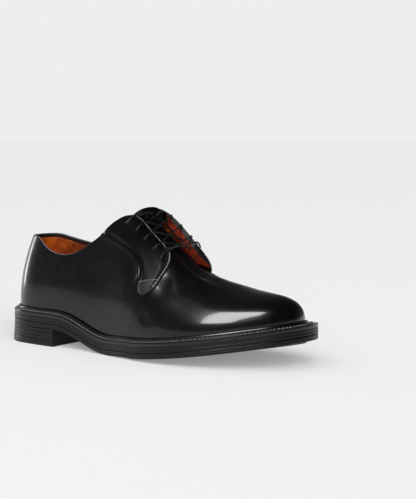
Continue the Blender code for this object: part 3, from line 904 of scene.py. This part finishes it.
def make_quarter_edge(side, word, materials):
    """The turned edge of the quarter, which runs out at the tab."""
    down = np.linspace(0.0, 0.90, 150)
    away, height = np.array(TURNED_EDGE).T
    fade = np.clip((0.90 - down) / 0.10, 0.0, 1.0)[:, None]
    share = -away[None] / facing_width(side, down)[:, None]
    lip = Shape().grid(facing_place(side, down[:, None], share, height[None] * fade - 0.00003 * (1 - fade)))
    lip.piece(f"quarter_edge_{word}", (materials["calf"],), "upper_leather")


def make_facing_stitches(side, word, materials):
    """Rows along the front edge and across the tab, and a bar tack at the collar, in thread painted light
    as a glint; and black rows.
    """
    light, dark = Shape(), Shape()
    for start, end, inset, from_front, pitch, radius, painted_glint in STITCH_ROWS:
        offset = FACING_LEVEL + 0.0003 if from_front else FACING_LEVEL * 0.35
        radius = radius if side == OUTER else radius * 0.65
        path, normals = row_on_facing(side, start, end, inset, from_front, offset)
        stitches(light if painted_glint else dark, path, normals, pitch, 0.56, radius, radius * 0.7)
    share = np.linspace(0.04, 0.93, 60)
    path = facing_place(side, TAB_START, share, FACING_LEVEL)
    normals = unit(facing_place(side, TAB_START, share, FACING_LEVEL + NORMAL_STEP) - path)
    stitches(light, path, normals, *SEAMS["tab"])
    path, normals = row_on_facing(side, 0.012, 0.04, 0.0, False, 0.0014, 20)
    stitches(light, path, normals, *SEAMS["bar tack"])
    light.piece(f"facing_{word}_stitches", (materials["thread"],), "upper_leather")
    dark.piece(f"facing_{word}_black_stitches", (materials["dark_thread"],), "upper_leather")


def make_facings(materials):
    """Both facings with their stitching, and the lining that shows where the inner one stands off."""
    for side, word in ((OUTER, "outer"), (INNER, "inner")):
        make_facing_leather(side, word, materials)
        make_quarter_edge(side, word, materials)
        make_facing_stitches(side, word, materials)
    wall = Shape()
    down = np.linspace(0.10, 0.85, 120)
    depth = np.interp(down, (0.10, 0.16, 0.5, 0.66, 0.78, 0.85), (0.0, 0.0065, 0.0085, 0.0080, 0.0045, 0.0))
    share = 1 - 0.0006 / facing_width(INNER, down)
    top = FACING_LEVEL * 0.75
    # Below its top the wall takes the darker lining: painted shade
    for drop, mark in ((np.linspace(0.0, 0.38, 4), 0), (np.linspace(0.38, 1.0, 6), 1)):
        offset = top - drop[None] * (depth[:, None] + top)
        wall.grid(facing_place(INNER, down[:, None], share[:, None], offset), mark)
    wall.piece("facing_inner_lining", (materials["tab"], materials["shaded_lining"]), "lining_leather")


def grid_normals(places):
    """Directions square to a grid of points."""
    return unit(np.cross(np.gradient(places, axis=0), np.gradient(places, axis=1)))


def tongue_rows():
    return np.concatenate([np.linspace(0.0, 0.08, 14)[:-1], np.linspace(0.08, 1.0, 90)])[:, None]


def tongue_places(rows, shares):
    """The tongue's outside: an arched top between the facings, running down to lie flush with the vamp."""
    along = TONGUE_START + (TONGUE_END - TONGUE_START) * rows
    low = 0.60 + 0.12 * ease(rows / 0.65)
    rise = 1 - (1 - low) * np.abs(shares)
    halves = []
    for side in SIDES:
        base = WALL + 0.0012 if side == OUTER else 0.0085
        depth = base + (np.maximum(TONGUE_DROP(along), base) - base) * ease((rise - low) / 0.22)
        onto = ease((along - 0.590) / 0.036) if side == OUTER else ease((along - 0.612) / 0.014)
        under = 0.0012 * ease((along - THROAT - 0.0005) / 0.014)
        depth = depth * (1 - onto) + (throat_hollow(side, along, rise) + under) * onto
        relief = leather_relief(side, turn_of(along), rise, False) * ease((along - 0.56) / 0.06)
        halves.append(skin(side, turn_of(along), rise, relief - depth))
    places = np.where((shares < 0)[..., None], halves[0], halves[1])
    arch = stack(
        0.1440 + 0.0045 * shares - 0.0035 * shares**2 + 0.062 * rows,
        0.003 + (0.0150 + 0.012 * rows) * shares,
        0.1222 + 0.0006 * shares - 0.0068 * np.abs(shares) ** 2.4 - 0.036 * rows,
    )
    stand = (1 - ease(rows / 0.34))[..., None]
    return places * (1 - stand) + arch * stand


def make_tongue(materials):
    """The tongue, cut in one with the vamp."""
    shape = Shape()
    rows, shares = tongue_rows(), TONGUE_SHARES
    places = tongue_places(rows, shares)
    normals = grid_normals(places)
    edge = np.minimum(rows * TONGUE_LENGTH, (1 - np.abs(shares)) * 0.03)
    curl = TONGUE_ROLL * (1 - np.sqrt(1 - (1 - np.clip(edge / TONGUE_ROLL, 0.0, 1.0)) ** 2))
    curl = curl * (1 - ease((rows - 0.4) / 0.2))
    seam = np.exp(-(((rows * TONGUE_LENGTH - TONGUE_SEAM) / 0.0007) ** 2))
    groove = -0.0003 * seam * (np.abs(shares) < 0.9)
    outside = places + normals * (groove - curl)[..., None]
    inside = places - normals * (TONGUE_THICKNESS - curl * 0.3)[..., None]
    shape.grid(outside, 0).grid(inside, 1).grid(np.stack([outside[0], inside[0]]), 0)
    for column in (0, -1):
        shape.grid(np.stack([outside[:30, column], inside[:30, column]]), 0)
    shape.piece("tongue_leather", (materials["facing"], materials["lining"]), "upper_leather", ("tongue",))


def raised(plan, height):
    """Points over a plan, at this height."""
    return np.concatenate([plan, np.broadcast_to(height, plan.shape[:-1])[..., None]], axis=-1)


def between(outer, inner, shares):
    """Plan of the ground between two lines, in columns from -1 on the outer one to 1 on the inner one."""
    return outer[:, None] + (inner - outer)[:, None] * ((shares + 1) / 2)[:, None]


def swept(profile):
    """Rings of a profile, from the heel along the outer side and back along the inner one.

    profile(side, turn) gives distances out of the last and heights over the welt's top.
    """
    rings = []
    for side, turns in ((OUTER, SOLE_TURNS), (INNER, SOLE_TURNS[::-1][1:-1])):
        foot, normal = bottom_line(side, turns), outward(side, turns)
        out, up = profile(side, turns)
        places = foot[:, None] + normal[:, None] * out[..., None]
        places[..., 2] = seat_height(places[..., 0]) + up
        rings.append(places)
    return np.concatenate(rings)


def flank(side, turn, height):
    """How far the upper has swelled past its bottom line at this height over the welt."""
    along = along_of(turn)
    foot = bottom_line(side, turn)
    rise = height / (3 * SIDE_FULLNESS(along) * (last_point(side, turn, 1.0)[..., 2] - foot[..., 2]))
    place = last_point(side, turn, rise)
    return np.sum((place - foot) * outward(side, turn), axis=-1)


def groove_profile(low, high, lines, rounding=0.00022):
    """Insets and heights up an edge that has a fine groove at each line, and rounded arrises."""
    heights = [low, low + rounding * 0.3, low + rounding]
    insets = [rounding, rounding * 0.25, 0.0]
    for line in lines:
        heights += [line - 0.00028, line, line + 0.00028]
        insets += [0.0, 0.00012, 0.0]
    heights += [high - rounding, high - rounding * 0.3, high]
    insets += [0.0, rounding * 0.25, rounding]
    return np.array(insets), np.array(heights)


def make_welt(materials):
    """Storm welt: a bead against the upper, and a stitched strip that slopes down to the trimmed edge."""
    shape, thread = Shape(), Shape()
    insets, heights = groove_profile(-WELT_THICKNESS, 0.0002, ())
    bead = np.linspace(-0.25, math.pi, 11)[None]
    slope = ((0.0, 0.0), (0.08, -0.0004), (0.3, 0.0001), (0.62, 0.0006), (0.9, 0.0012), (1.0, 0.0011))
    arris = 0.0007

    def strip(side, turn):
        """How far out the sole's edge and the upper's flank lie."""
        return edge_width(turn), flank(side, turn, 0.0035) + SEAM_GAP

    def profile(side, turn):
        reach, wall = (width[:, None] for width in strip(side, turn))
        level = 0 * reach
        outs, ups = [reach - insets[None]], [heights[None] + level]
        for share, up in slope:
            outs.append(reach - arris + (wall + BEAD_WIDTH + arris - reach) * share)
            ups.append(up + level)
        outs += [wall + BEAD_WIDTH / 2 + BEAD_WIDTH / 2 * np.cos(bead), level - WALL, level - WALL]
        ups += [0.0018 + 0.0016 * np.sin(bead) + level, level, level - WELT_THICKNESS]
        return np.concatenate(outs, axis=1), np.concatenate(ups, axis=1)

    up = profile(OUTER, np.array([1.0]))[1]
    shape.grid(swept(profile), closed=True, heights=STACK + up)
    shape.piece("welt_leather", (materials["welt"],), "welt_leather", ("welt",))
    for side in SIDES:
        foot, normal = bottom_line(side, SOLE_TURNS), outward(side, SOLE_TURNS)
        reach, wall = strip(side, SOLE_TURNS)
        path = foot + normal * (reach - arris + (wall + BEAD_WIDTH + arris - reach) * 0.5)[:, None]
        path[:, 2] = seat_height(path[:, 0]) + 0.0005
        stitches(thread, path, unit(normal * 0.5 + np.array([0.0, 0.0, 0.86])), *SEAMS["welt"])
    # The welt's thread is painted light grey as a glint
    thread.piece("welt_stitches", (materials["welt_thread"],), "welt_leather")


def sole_layer(name, low, high, line, materials, slot, node, under=None, rounding=0.00022):
    """A layer that runs the whole length of the sole, between two heights over the outsole's lower edge.

    under(x, share) gives the underside's height where it isn't flat across. Such a layer has a channel
    for its stitches.
    """
    shape = Shape()
    insets, heights = groove_profile(low, high, (line,), rounding)

    def profile(side, turn):
        return edge_width(turn)[:, None] - insets[None], heights[None] - STACK + 0 * turn[:, None]

    shape.grid(swept(profile), closed=True, heights=heights[None])
    shares = np.linspace(-1.0, 1.0, 41)
    margin = insets[0]
    if under is not None:
        steps = np.array([margin, 0.0032, 0.0038, 0.0044, 0.0050, 0.0056])
        sink = np.array([0.0, 0.0, 0.0007, 0.0007, 0.0, 0.0])
        for side in SIDES:
            plan = np.stack([edge_line(side, SOLE_TURNS, inset) for inset in steps], axis=1)
            shape.grid(raised(plan, edge_bottom(plan[..., 0]) + low + sink), 1)
        margin = steps[-1]
    plan = between(*(edge_line(side, SOLE_TURNS, margin) for side in SIDES), shares)
    height = edge_bottom(plan[..., 0]) + low if under is None else under(plan[..., 0], shares[None])
    shape.grid(raised(plan, height), 1)
    shape.piece(name, materials, slot, (node,))


def outsole_under(x, share):
    middle, edge = sole_bottom(x), edge_bottom(x)
    return middle + (edge - middle) * ease((np.abs(share) - 0.45) / 0.55)


def make_sole(materials):
    """Outsole with its seam, midsole, and the sock inside the shoe."""
    edge, rubber, lining = materials["edge"], materials["rubber"], materials["lining"]
    middle, top = OUTSOLE_THICKNESS, STACK - WELT_THICKNESS
    skins = (edge, rubber)
    end = middle - 0.0001
    sole_layer("outsole_edge", 0.0, end, 0.0022, skins, "sole_rubber", "outsole", outsole_under, 0.0011)
    skins = (edge, edge)
    end = top - 0.0001
    sole_layer("midsole_edge", middle, end, middle + 0.0024, skins, "edge_leather", "midsole")
    seam = Shape()
    for side in SIDES:
        plan = edge_line(side, np.linspace(breast_turn(side) + 0.02, math.pi, 300), 0.0041)
        path = raised(plan, edge_bottom(plan[:, 0]) + 0.0006)
        down = np.zeros_like(path) + np.array([0.0, 0.0, -1.0])
        stitches(seam, path, down, *SEAMS["sole"])
    seam.piece("sole_stitches", (materials["welt_thread"],), "sole_rubber")
    sock = Shape()
    turns = np.linspace(0.0, math.pi, 120)
    outlines = (edge_line(side, turns, edge_width(turns) + 0.0026) for side in SIDES)
    plan = between(*outlines, np.linspace(-1.0, 1.0, 41))
    rim = np.concatenate([plan[:, 0], plan[::-1, -1]])
    walls = []
    for thickness, mark in ((INSOLE_THICKNESS, 0), (0.0, 1)):
        sock.grid(raised(plan, edge_bottom(plan[..., 0]) + top + thickness), mark)
        walls.append(raised(rim, edge_bottom(rim[:, 0]) + top + thickness))
    sock.grid(np.stack(walls, axis=1), closed=True)
    sock.piece("sock_lining", (lining, lining), "lining_leather", ("insole",))


def breast_turn(side):
    """The turn at which the sole's edge reaches the front of the heel."""
    turns = np.linspace(0.0, math.pi / 2, 4001)
    return float(np.interp(HEEL_LENGTH, edge_line(side, turns, 0.0)[:, 0], turns))


def make_heel(materials):
    """Stacked lifts and a top lift, with a hollowed breast."""
    steps, shares = np.linspace(0.0, 1.0, 61), np.linspace(-1.0, 1.0, 31)
    hollow = BREAST_HOLLOW * (1 - shares**2)
    lift_height = (HEEL_HEIGHT - TOP_LIFT_THICKNESS) / HEEL_LIFTS
    layers = [("top_lift", 0.0, TOP_LIFT_THICKNESS, 0.0006, "rubber", "sole_rubber")]
    for k in range(HEEL_LIFTS):
        base = TOP_LIFT_THICKNESS + k * lift_height
        layers.append((f"heel_lift_{k + 1}", base, base + lift_height, 0.0002, "edge", "edge_leather"))
    for name, base, top, rounding, under, slot in layers:
        shape = Shape()
        insets, heights = groove_profile(base, top - 0.00005, (), rounding)
        insets = insets + HEEL_FLARE * (heights / HEEL_HEIGHT - 1)
        outer, inner = (
            [edge_line(side, steps * breast_turn(side), inset) for inset in insets] for side in SIDES
        )
        rows = []
        for o, i, height in zip(outer, inner, heights):
            breast = i[-1] + (o[-1] - i[-1]) * ((shares[1:-1] + 1) / 2)[:, None]
            breast[:, 0] -= hollow[1:-1]
            rows.append(raised(np.concatenate([o[::-1], i[1:], breast]), height))
        shape.grid(np.stack(rows, axis=1), closed=True, heights=heights[None])
        for k, mark in ((0, 1), (-1, 0)):
            plan = between(outer[k], inner[k], shares)
            plan[..., 0] -= hollow[None] * steps[:, None] ** 2
            shape.grid(raised(plan, heights[k]), mark)
        shape.piece(f"{name}_stack", (materials["edge"], materials[under]), slot, (name,))


def eyelet(side, pair):
    """Place of an eyelet along and up the last, in shares. Pairs count up from the collar."""
    rise = EYELET_RISE(pair) + (INNER_EYELET_LIFT if side == INNER else 0.0)
    return EYELET_ALONG(pair), rise


def evenly(points, step=0.0005):
    """Points this far apart along straight runs between the given ones."""
    points = np.array(points)
    total = lengths(points)[-1]
    return resampled(points, np.linspace(0.0, total, int(total / step) + 1))


def softened(path, reach):
    """A path with its bends rounded over this many points on each side; its ends stay."""
    kernel = np.hanning(2 * reach + 3)[1:-1]
    kernel = kernel / kernel.sum()
    ahead = 2 * path[:1] - path[reach:0:-1]
    behind = 2 * path[-1:] - path[-2 : -reach - 2 : -1]
    long = np.concatenate([ahead, path, behind])
    return np.stack([np.convolve(long[:, axis], kernel, "valid") for axis in range(3)], axis=-1)


def laid_over(path, cover, clearance, up):
    """The path, lifted where it would come closer than this to the points that it crosses."""
    across = path[:, None] - cover[None]
    above = across @ up
    beside = np.sum(across**2, axis=-1) - above**2
    room = clearance**2 - beside
    lift = np.where(room > 0, np.sqrt(np.maximum(room, 0.0)) - above, 0.0)
    lift = np.where(above > -0.012, lift, 0.0)
    return path + np.maximum(lift.max(axis=1), 0.0)[:, None] * up


def out_of_eyelet(side, pair, radius, arch):
    """A lace's points from under an eyelet, out of it and over the facing's edge."""
    along, rise = eyelet(side, pair)
    edge = COLLAR[side](along)
    rest = FACING_LEVEL + radius
    low, high = (lift_of_facing(side, along, up) for up in (rise, edge))
    # The top one of the far side slants most, pushed forward by the tongue's top
    slant = 0.024 if (side, pair) == (INNER, 0) else 0.008 * (pair < EYELET_PAIRS - 1)
    legs = []
    ways = (
        (-0.10, -0.0045),
        (-0.02, 0.0),
        (0.26, rest + 0.0005),
        (0.75, rest + 0.0003),
        (1.02, rest + arch),
    )
    for share, height in ways:
        forward = max(share, 0.0)
        place = turn_of(along + slant * forward), rise + (edge - rise) * share
        legs.append(skin(side, *place, height + low + (high - low) * min(forward, 1.0)))
    return legs


def under_edge(side, pair):
    """A lace's points from the opening in under a facing."""
    along = EYELET_ALONG(pair)
    edge = COLLAR[side](along)
    deep = -0.0040 if side == INNER else -0.0032
    ways = ((0.010, deep * 0.8), (-0.05, deep))
    return [skin(side, turn_of(along), edge + past, offset) for past, offset in ways]


def make_laces(look, materials):
    """Waxed laces: each comes out of an eyelet and goes in under the other facing, above a straight bar."""
    last, radius = EYELET_PAIRS - 1, look.lace_radius
    up = unit(np.array([0.42, 0.0, 0.9]))
    tongue = tongue_places(tongue_rows(), TONGUE_SHARES)[6:, 8:-8].reshape(-1, 3)
    free = slice(10, -4)
    runs = {OUTER: [], INNER: []}
    for side, arch in ((OUTER, 0.0), (INNER, 0.0004)):
        for pair in range(last):
            points = out_of_eyelet(side, pair, radius, arch) + under_edge(-side, pair + 1)
            path = softened(evenly(points), 5)
            for _ in range(2):
                path[free] = laid_over(path[free], tongue, 1.3 * radius, up)
                if side == INNER:
                    path[free] = laid_over(path[free], np.concatenate(runs[OUTER]), 2.05 * radius, up)
                path = softened(path, 5)
            runs[side].append(path)
    near, far = (out_of_eyelet(side, last, radius, 0.0002) for side in SIDES)
    bar = softened(evenly(near + far[::-1]), 4)
    bar = softened(laid_over(bar, np.concatenate(runs[INNER]), 2.05 * radius, up), 4)
    cords = [("lace_bar", [bar])]
    cords += [(f"lace_cross_{pair + 1}", [runs[side][pair] for side in SIDES]) for pair in range(last)]
    for name, paths in cords:
        shape = Shape()
        for path in paths:
            shape.grid(tube(path, radius, 14))
        shape.piece(f"{name}_cord", (materials["lace"],), "lace_cotton", (name,))


def make_eyelets(materials):
    """Punched eyelets: a flat disc painted dark for the hole's shade, with a pressed rim."""
    shape = Shape()
    angles = np.linspace(0.0, 2 * math.pi, 25)[:, None]
    rings = ((0.0, 0.00001), (0.9, 0.00002), (1.0, 0.0001), (1.2, 0.00016), (1.45, -0.0001))
    for side in SIDES:
        for pair in range(EYELET_PAIRS):
            along, rise = eyelet(side, pair)
            level = FACING_LEVEL + lift_of_facing(side, along, rise)
            middle = skin(side, turn_of(along), rise, level)
            normal = unit(skin(side, turn_of(along), rise, level + NORMAL_STEP) - middle)
            first = unit(np.cross(normal, [0.0, 0.0, 1.0]))
            ring = np.cos(angles) * first + np.sin(angles) * np.cross(normal, first)
            places = [middle + ring * EYELET_RADIUS * size + normal * up for size, up in rings]
            shape.grid(np.stack(places, axis=1), (1, 1, 0, 0))
    shape.piece("eyelet_rims", (materials["calf"], materials["hole"]), "upper_leather")


class DerbyLook(bpy.types.PropertyGroup):
    """Sizes and finish that a user may want to change."""

    pore_size: FloatProperty(
        name="Pore size", description="Spacing of the drawn pores, in millimetres", default=0.9
    )
    wax_coat: FloatProperty(
        name="Wax coat", description="Strength of the wax over the calf", default=0.42, subtype="FACTOR"
    )
    lace_radius: FloatProperty(
        name="Lace radius", description="Half the lace's width", default=0.0008, unit="LENGTH"
    )


class StudioLook(bpy.types.PropertyGroup):
    """Camera and light."""

    azimuth: FloatProperty(name="Azimuth", description="Camera's angle round the shoe", default=37.0)
    elevation: FloatProperty(name="Elevation", description="Camera's angle over the floor", default=5.0)
    distance: FloatProperty(
        name="Distance", description="Camera's distance", default=1.2, unit="LENGTH"
    )
    lens: FloatProperty(name="Lens", description="Focal length in millimetres", default=105.55)
    key_power: FloatProperty(
        name="Key power", description="Power of the lamp over the toe", default=30.0, unit="POWER"
    )
    strip_power: FloatProperty(
        name="Strip power", description="Power of the lamp behind the heel", default=4.5, unit="POWER"
    )
    overhead: FloatProperty(
        name="Overhead", description="Strength of the soft light from above", default=0.4
    )
    dome: FloatProperty(
        name="Dome", description="Brightness of the even light on matt surfaces", default=0.43
    )
    low_fill: FloatProperty(
        name="Low fill", description="Strength of the soft light from the toe's side", default=3.2
    )
    sweep: FloatProperty(
        name="Sweep", description="Brightness of the white sweep behind the shoe", default=0.8
    )
    flags: FloatProperty(
        name="Flags", description="Brightness of the dark flags beside the camera", default=0.125
    )
    target: FloatVectorProperty(
        name="Target", description="Where the camera looks", default=(0.056, -0.00016, 0.089)
    )


MATERIALS = {}


def materials_of(context):
    """The shoe's materials, made once."""
    if not MATERIALS:
        look = context.scene.derby_look
        MATERIALS.update(
            # Glazed and waxed: deep black under a soft mirror
            calf=polished_calf(look, "polished_calf", look.wax_coat, 0.18, 0.26),
            # Handled at the laces, so duller
            facing=polished_calf(look, "rolled_calf", 0.04, 0.11, 0.36),
            # Skived and left without glaze: matt, with an open grain
            tab=plain_leather("unglazed_calf", "040404", "0C0C0B", 0.5, 1.1, 0.0004, 0.3),
            # Undyed, tanned with bark: orange-brown and matt, mottled by wear
            lining=plain_leather("vegetable_tanned_lining", "6A2002", "B8520E", 0.65, 1.2, 0.00012, 0.15),
            # The lining again, darker: painted shade where it lies deep inside the collar and the inner
            # facing
            shaded_lining=plain_leather("lining_painted_shade", "2E0801", "741E05", 0.65, 1.2, 0.00012, 0.08),
            binding=plain_leather("black_binding", "0A0909", "141211", 0.5, 1.0, 0.0001),
            edge=layered_edge(),
            rubber=plain_leather("moulded_rubber", "0A0A0A", "151515", 0.6, 0.9, 0.00015),
            # Threads stand out lighter than the leather, but for the black one. The grey and the linen-grey
            # ones are painted light: a painted glint on dark thread
            lace=waxed_cotton("waxed_lace", "161616", 0.34),
            thread=waxed_cotton("thread_painted_glint", "B0B0B2", 0.35),
            dark_thread=waxed_cotton("black_polyester_thread", "0C0C0C", 0.4),
            # Its light grey is a painted glint on the welt's and sole's stitches
            welt_thread=waxed_cotton("linen_thread_painted_glint", "7C7A78", 0.35),
            tan_thread=waxed_cotton("tan_polyester_thread", "B0703C", 0.5),
            # Inked and burnished: glossier than the edge below it
            welt=polished_calf(look, "inked_welt", 0.3, 0.3, 0.3),
            # The cut and folded rim of the collar, painted light grey: a painted highlight along it
            rim=plain_leather("folded_edge_painted_highlight", "55555A", "808086", 0.4, 1.2, 0.0001),
            # The hole is a flat disc: its near black is painted shade
            hole=plain_leather("hole_painted_shade", "020202", "030303", 0.8, 1.0, 0.0001),
        )
    return MATERIALS


class DERBY_OT_upper(bpy.types.Operator):
    """Make the vamp and quarters, with the stitching of their lining"""

    bl_idname = "derby.upper"
    bl_label = "Vamp and quarters"

    def execute(self, context):
        make_upper(materials_of(context))
        make_lining_stitches(materials_of(context))
        return {"FINISHED"}


class DERBY_OT_facings(bpy.types.Operator):
    """Make the facings, their stitching and their eyelets"""

    bl_idname = "derby.facings"
    bl_label = "Facings"

    def execute(self, context):
        make_facings(materials_of(context))
        make_eyelets(materials_of(context))
        return {"FINISHED"}


class DERBY_OT_tongue(bpy.types.Operator):
    """Make the tongue"""

    bl_idname = "derby.tongue"
    bl_label = "Tongue"

    def execute(self, context):
        make_tongue(materials_of(context))
        return {"FINISHED"}


class DERBY_OT_laces(bpy.types.Operator):
    """Make the laces"""

    bl_idname = "derby.laces"
    bl_label = "Laces"

    def execute(self, context):
        make_laces(context.scene.derby_look, materials_of(context))
        return {"FINISHED"}


class DERBY_OT_sole(bpy.types.Operator):
    """Make the welt, the sole and the sock"""

    bl_idname = "derby.sole"
    bl_label = "Welt and sole"

    def execute(self, context):
        make_welt(materials_of(context))
        make_sole(materials_of(context))
        return {"FINISHED"}


class DERBY_OT_heel(bpy.types.Operator):
    """Make the stacked heel"""

    bl_idname = "derby.heel"
    bl_label = "Heel"

    def execute(self, context):
        make_heel(materials_of(context))
        return {"FINISHED"}


def studio_world(look):
    """A plain grey background, an even dome for the matt surfaces, and for the others flags and a sweep."""
    world = bpy.data.worlds.new("studio")
    world.use_nodes = True
    tree = world.node_tree
    tree.nodes.clear()
    turn = math.radians(look.azimuth)
    place = add_node(tree, "ShaderNodeTexCoord").outputs["Generated"]

    def ramp(direction, start, end, low, high):
        facing = add_node(tree, "ShaderNodeVectorMath", {0: place, 1: direction}, operation="DOT_PRODUCT")
        limits = {"From Min": start, "From Max": end, "To Min": low, "To Max": high}
        inputs = {"Value": facing.outputs["Value"], **limits}
        eased = add_node(tree, "ShaderNodeMapRange", inputs, interpolation_type="SMOOTHSTEP")
        return eased.outputs["Result"]

    behind = ramp((-math.sin(turn), math.cos(turn), 0.0), 0.1, 0.6, 0.0, look.sweep)
    level = ramp((0.0, 0.0, 1.0), 0.05, 0.4, 1.0, 0.06)
    right = ramp((math.cos(turn), math.sin(turn), 0.0), -1.0, 0.4, 1.5, 0.2)
    sweep = add_node(tree, "ShaderNodeMath", {0: behind, 1: level, 2: look.flags}, operation="MULTIPLY_ADD")
    sweep = add_node(tree, "ShaderNodeMath", {0: sweep.outputs[0], 1: right}, operation="MULTIPLY")
    mixed = add_node(tree, "ShaderNodeBackground", {"Strength": sweep.outputs[0]})
    dome = add_node(tree, "ShaderNodeBackground", {"Strength": look.dome})
    seen = add_node(tree, "ShaderNodeBackground", {"Color": linear("EEEEEE")})
    ray = add_node(tree, "ShaderNodeLightPath")
    for kind, other in (("Is Diffuse Ray", dome), ("Is Camera Ray", seen)):
        inputs = {0: ray.outputs[kind], 1: mixed.outputs[0], 2: other.outputs[0]}
        mixed = add_node(tree, "ShaderNodeMixShader", inputs)
    add_node(tree, "ShaderNodeOutputWorld", {"Surface": mixed.outputs[0]})
    return world


def softbox(name, place, target, size, power):
    """A rectangular lamp that faces a point, for the glossy surfaces only."""
    light = bpy.data.lights.new(name, "AREA")
    light.shape = "RECTANGLE"
    light.size, light.size_y = size
    light.energy = power
    lamp = bpy.data.objects.new(name, light)
    lamp.visible_diffuse = False
    bpy.context.scene.collection.objects.link(lamp)
    aim = Vector(target) - Vector(place)
    lamp.matrix_world = Matrix.Translation(place) @ aim.to_track_quat("-Z", "Y").to_matrix().to_4x4()


def soft_sun(name, direction, strength, angle):
    """Wide, even light from one side, for the matt surfaces only."""
    light = bpy.data.lights.new(name, "SUN")
    light.energy = strength
    light.angle = math.radians(angle)
    lamp = bpy.data.objects.new(name, light)
    lamp.visible_glossy = False
    bpy.context.scene.collection.objects.link(lamp)
    lamp.matrix_world = Vector(direction).to_track_quat("Z", "Y").to_matrix().to_4x4()


def studio_sheet(name, places, material):
    """A sheet of the studio's own over a grid of points."""
    mesh = bpy.data.meshes.new(name)
    rows, columns = places.shape[:2]
    number = np.arange(rows * columns).reshape(rows, columns)
    quads = np.stack([number[:-1, :-1], number[1:, :-1], number[1:, 1:], number[:-1, 1:]], axis=-1)
    mesh.from_pydata(places.reshape(-1, 3).tolist(), [], quads.reshape(-1, 4).tolist())
    mesh.materials.append(material)
    mesh.shade_smooth()
    sheet = bpy.data.objects.new(name, mesh)
    bpy.context.scene.collection.objects.link(sheet)
    return sheet


class DERBY_OT_studio(bpy.types.Operator):
    """Set up the floor, the lamps and the camera"""

    bl_idname = "derby.studio"
    bl_label = "Studio"

    def execute(self, context):
        look = context.scene.derby_studio
        angles = np.linspace(0.0, 2 * math.pi, 97)
        radii = np.concatenate([[0.0], np.geomspace(0.2, 14.0, 24)])
        ring = np.stack([np.cos(angles), np.sin(angles)], axis=-1)
        studio_sheet("studio_floor", raised(ring[:, None] * radii[None, :, None], 0.0), studio_paper())
        # A small black card over the outer facing keeps the key box out of its polish
        centre, across, up = np.array([[0.014, -0.098, 0.197], [0.032, 0.0, 0.0], [0.0, 0.045, 0.012]])
        card = np.array([[centre + across * a + up * b for b in (-1, 1)] for a in (-1, 1)])
        black = plain_leather("black_card", "020202", "030303", 0.9, 1.0, 0.0001, 0.0)
        flag = studio_sheet("flag", card, black)
        flag.visible_camera = flag.visible_diffuse = False
        context.scene.world = studio_world(look)
        context.scene.view_settings.view_transform = "Standard"
        softbox("key_box", (0.08, -0.80, 0.92), (0.08, 0.0, 0.04), (0.5, 0.95), look.key_power)
        softbox("heel_strip", (-1.62, -0.08, 0.30), (-0.12, 0.0, 0.06), (0.24, 0.7), look.strip_power)
        soft_sun("overhead_sheet", (-0.25, -0.45, 1.0), look.overhead, 70.0)
        soft_sun("low_fill", (0.72, -0.62, 0.36), look.low_fill, 60.0)
        turn, lift = math.radians(look.azimuth), math.radians(look.elevation)
        back = Vector((math.sin(turn) * math.cos(lift), -math.cos(turn) * math.cos(lift), math.sin(lift)))
        place = Matrix.Translation(Vector(look.target) + back * look.distance)
        data = bpy.data.cameras.new("camera")
        data.lens = look.lens
        data.sensor_width = 36.0
        camera = bpy.data.objects.new("camera", data)
        context.scene.collection.objects.link(camera)
        camera.matrix_world = place @ back.to_track_quat("Z", "Y").to_matrix().to_4x4()
        context.scene.camera = camera
        return {"FINISHED"}


STEPS = (
    DERBY_OT_upper,
    DERBY_OT_facings,
    DERBY_OT_tongue,
    DERBY_OT_laces,
    DERBY_OT_sole,
    DERBY_OT_heel,
    DERBY_OT_studio,
)


class DERBY_PT_steps(bpy.types.Panel):
    """Steps that dress the shoe"""

    bl_label = "Derby shoe"
    bl_space_type = "VIEW_3D"
    bl_region_type = "UI"
    bl_category = "Derby"

    def draw(self, context):
        for step in STEPS:
            self.layout.operator(step.bl_idname)
        for group in (context.scene.derby_look, context.scene.derby_studio):
            for name in group.bl_rna.properties.keys()[2:]:
                self.layout.prop(group, name)


CLASSES = (DerbyLook, StudioLook, *STEPS, DERBY_PT_steps)


def register():
    for each in CLASSES:
        bpy.utils.register_class(each)
    bpy.types.Scene.derby_look = PointerProperty(type=DerbyLook)
    bpy.types.Scene.derby_studio = PointerProperty(type=StudioLook)


def unregister():
    del bpy.types.Scene.derby_studio
    del bpy.types.Scene.derby_look
    for each in reversed(CLASSES):
        bpy.utils.unregister_class(each)


def main():
    register()
    for step in STEPS:
        group, name = step.bl_idname.split(".")
        getattr(getattr(bpy.ops, group), name)()


if __name__ == "__main__":
    main()
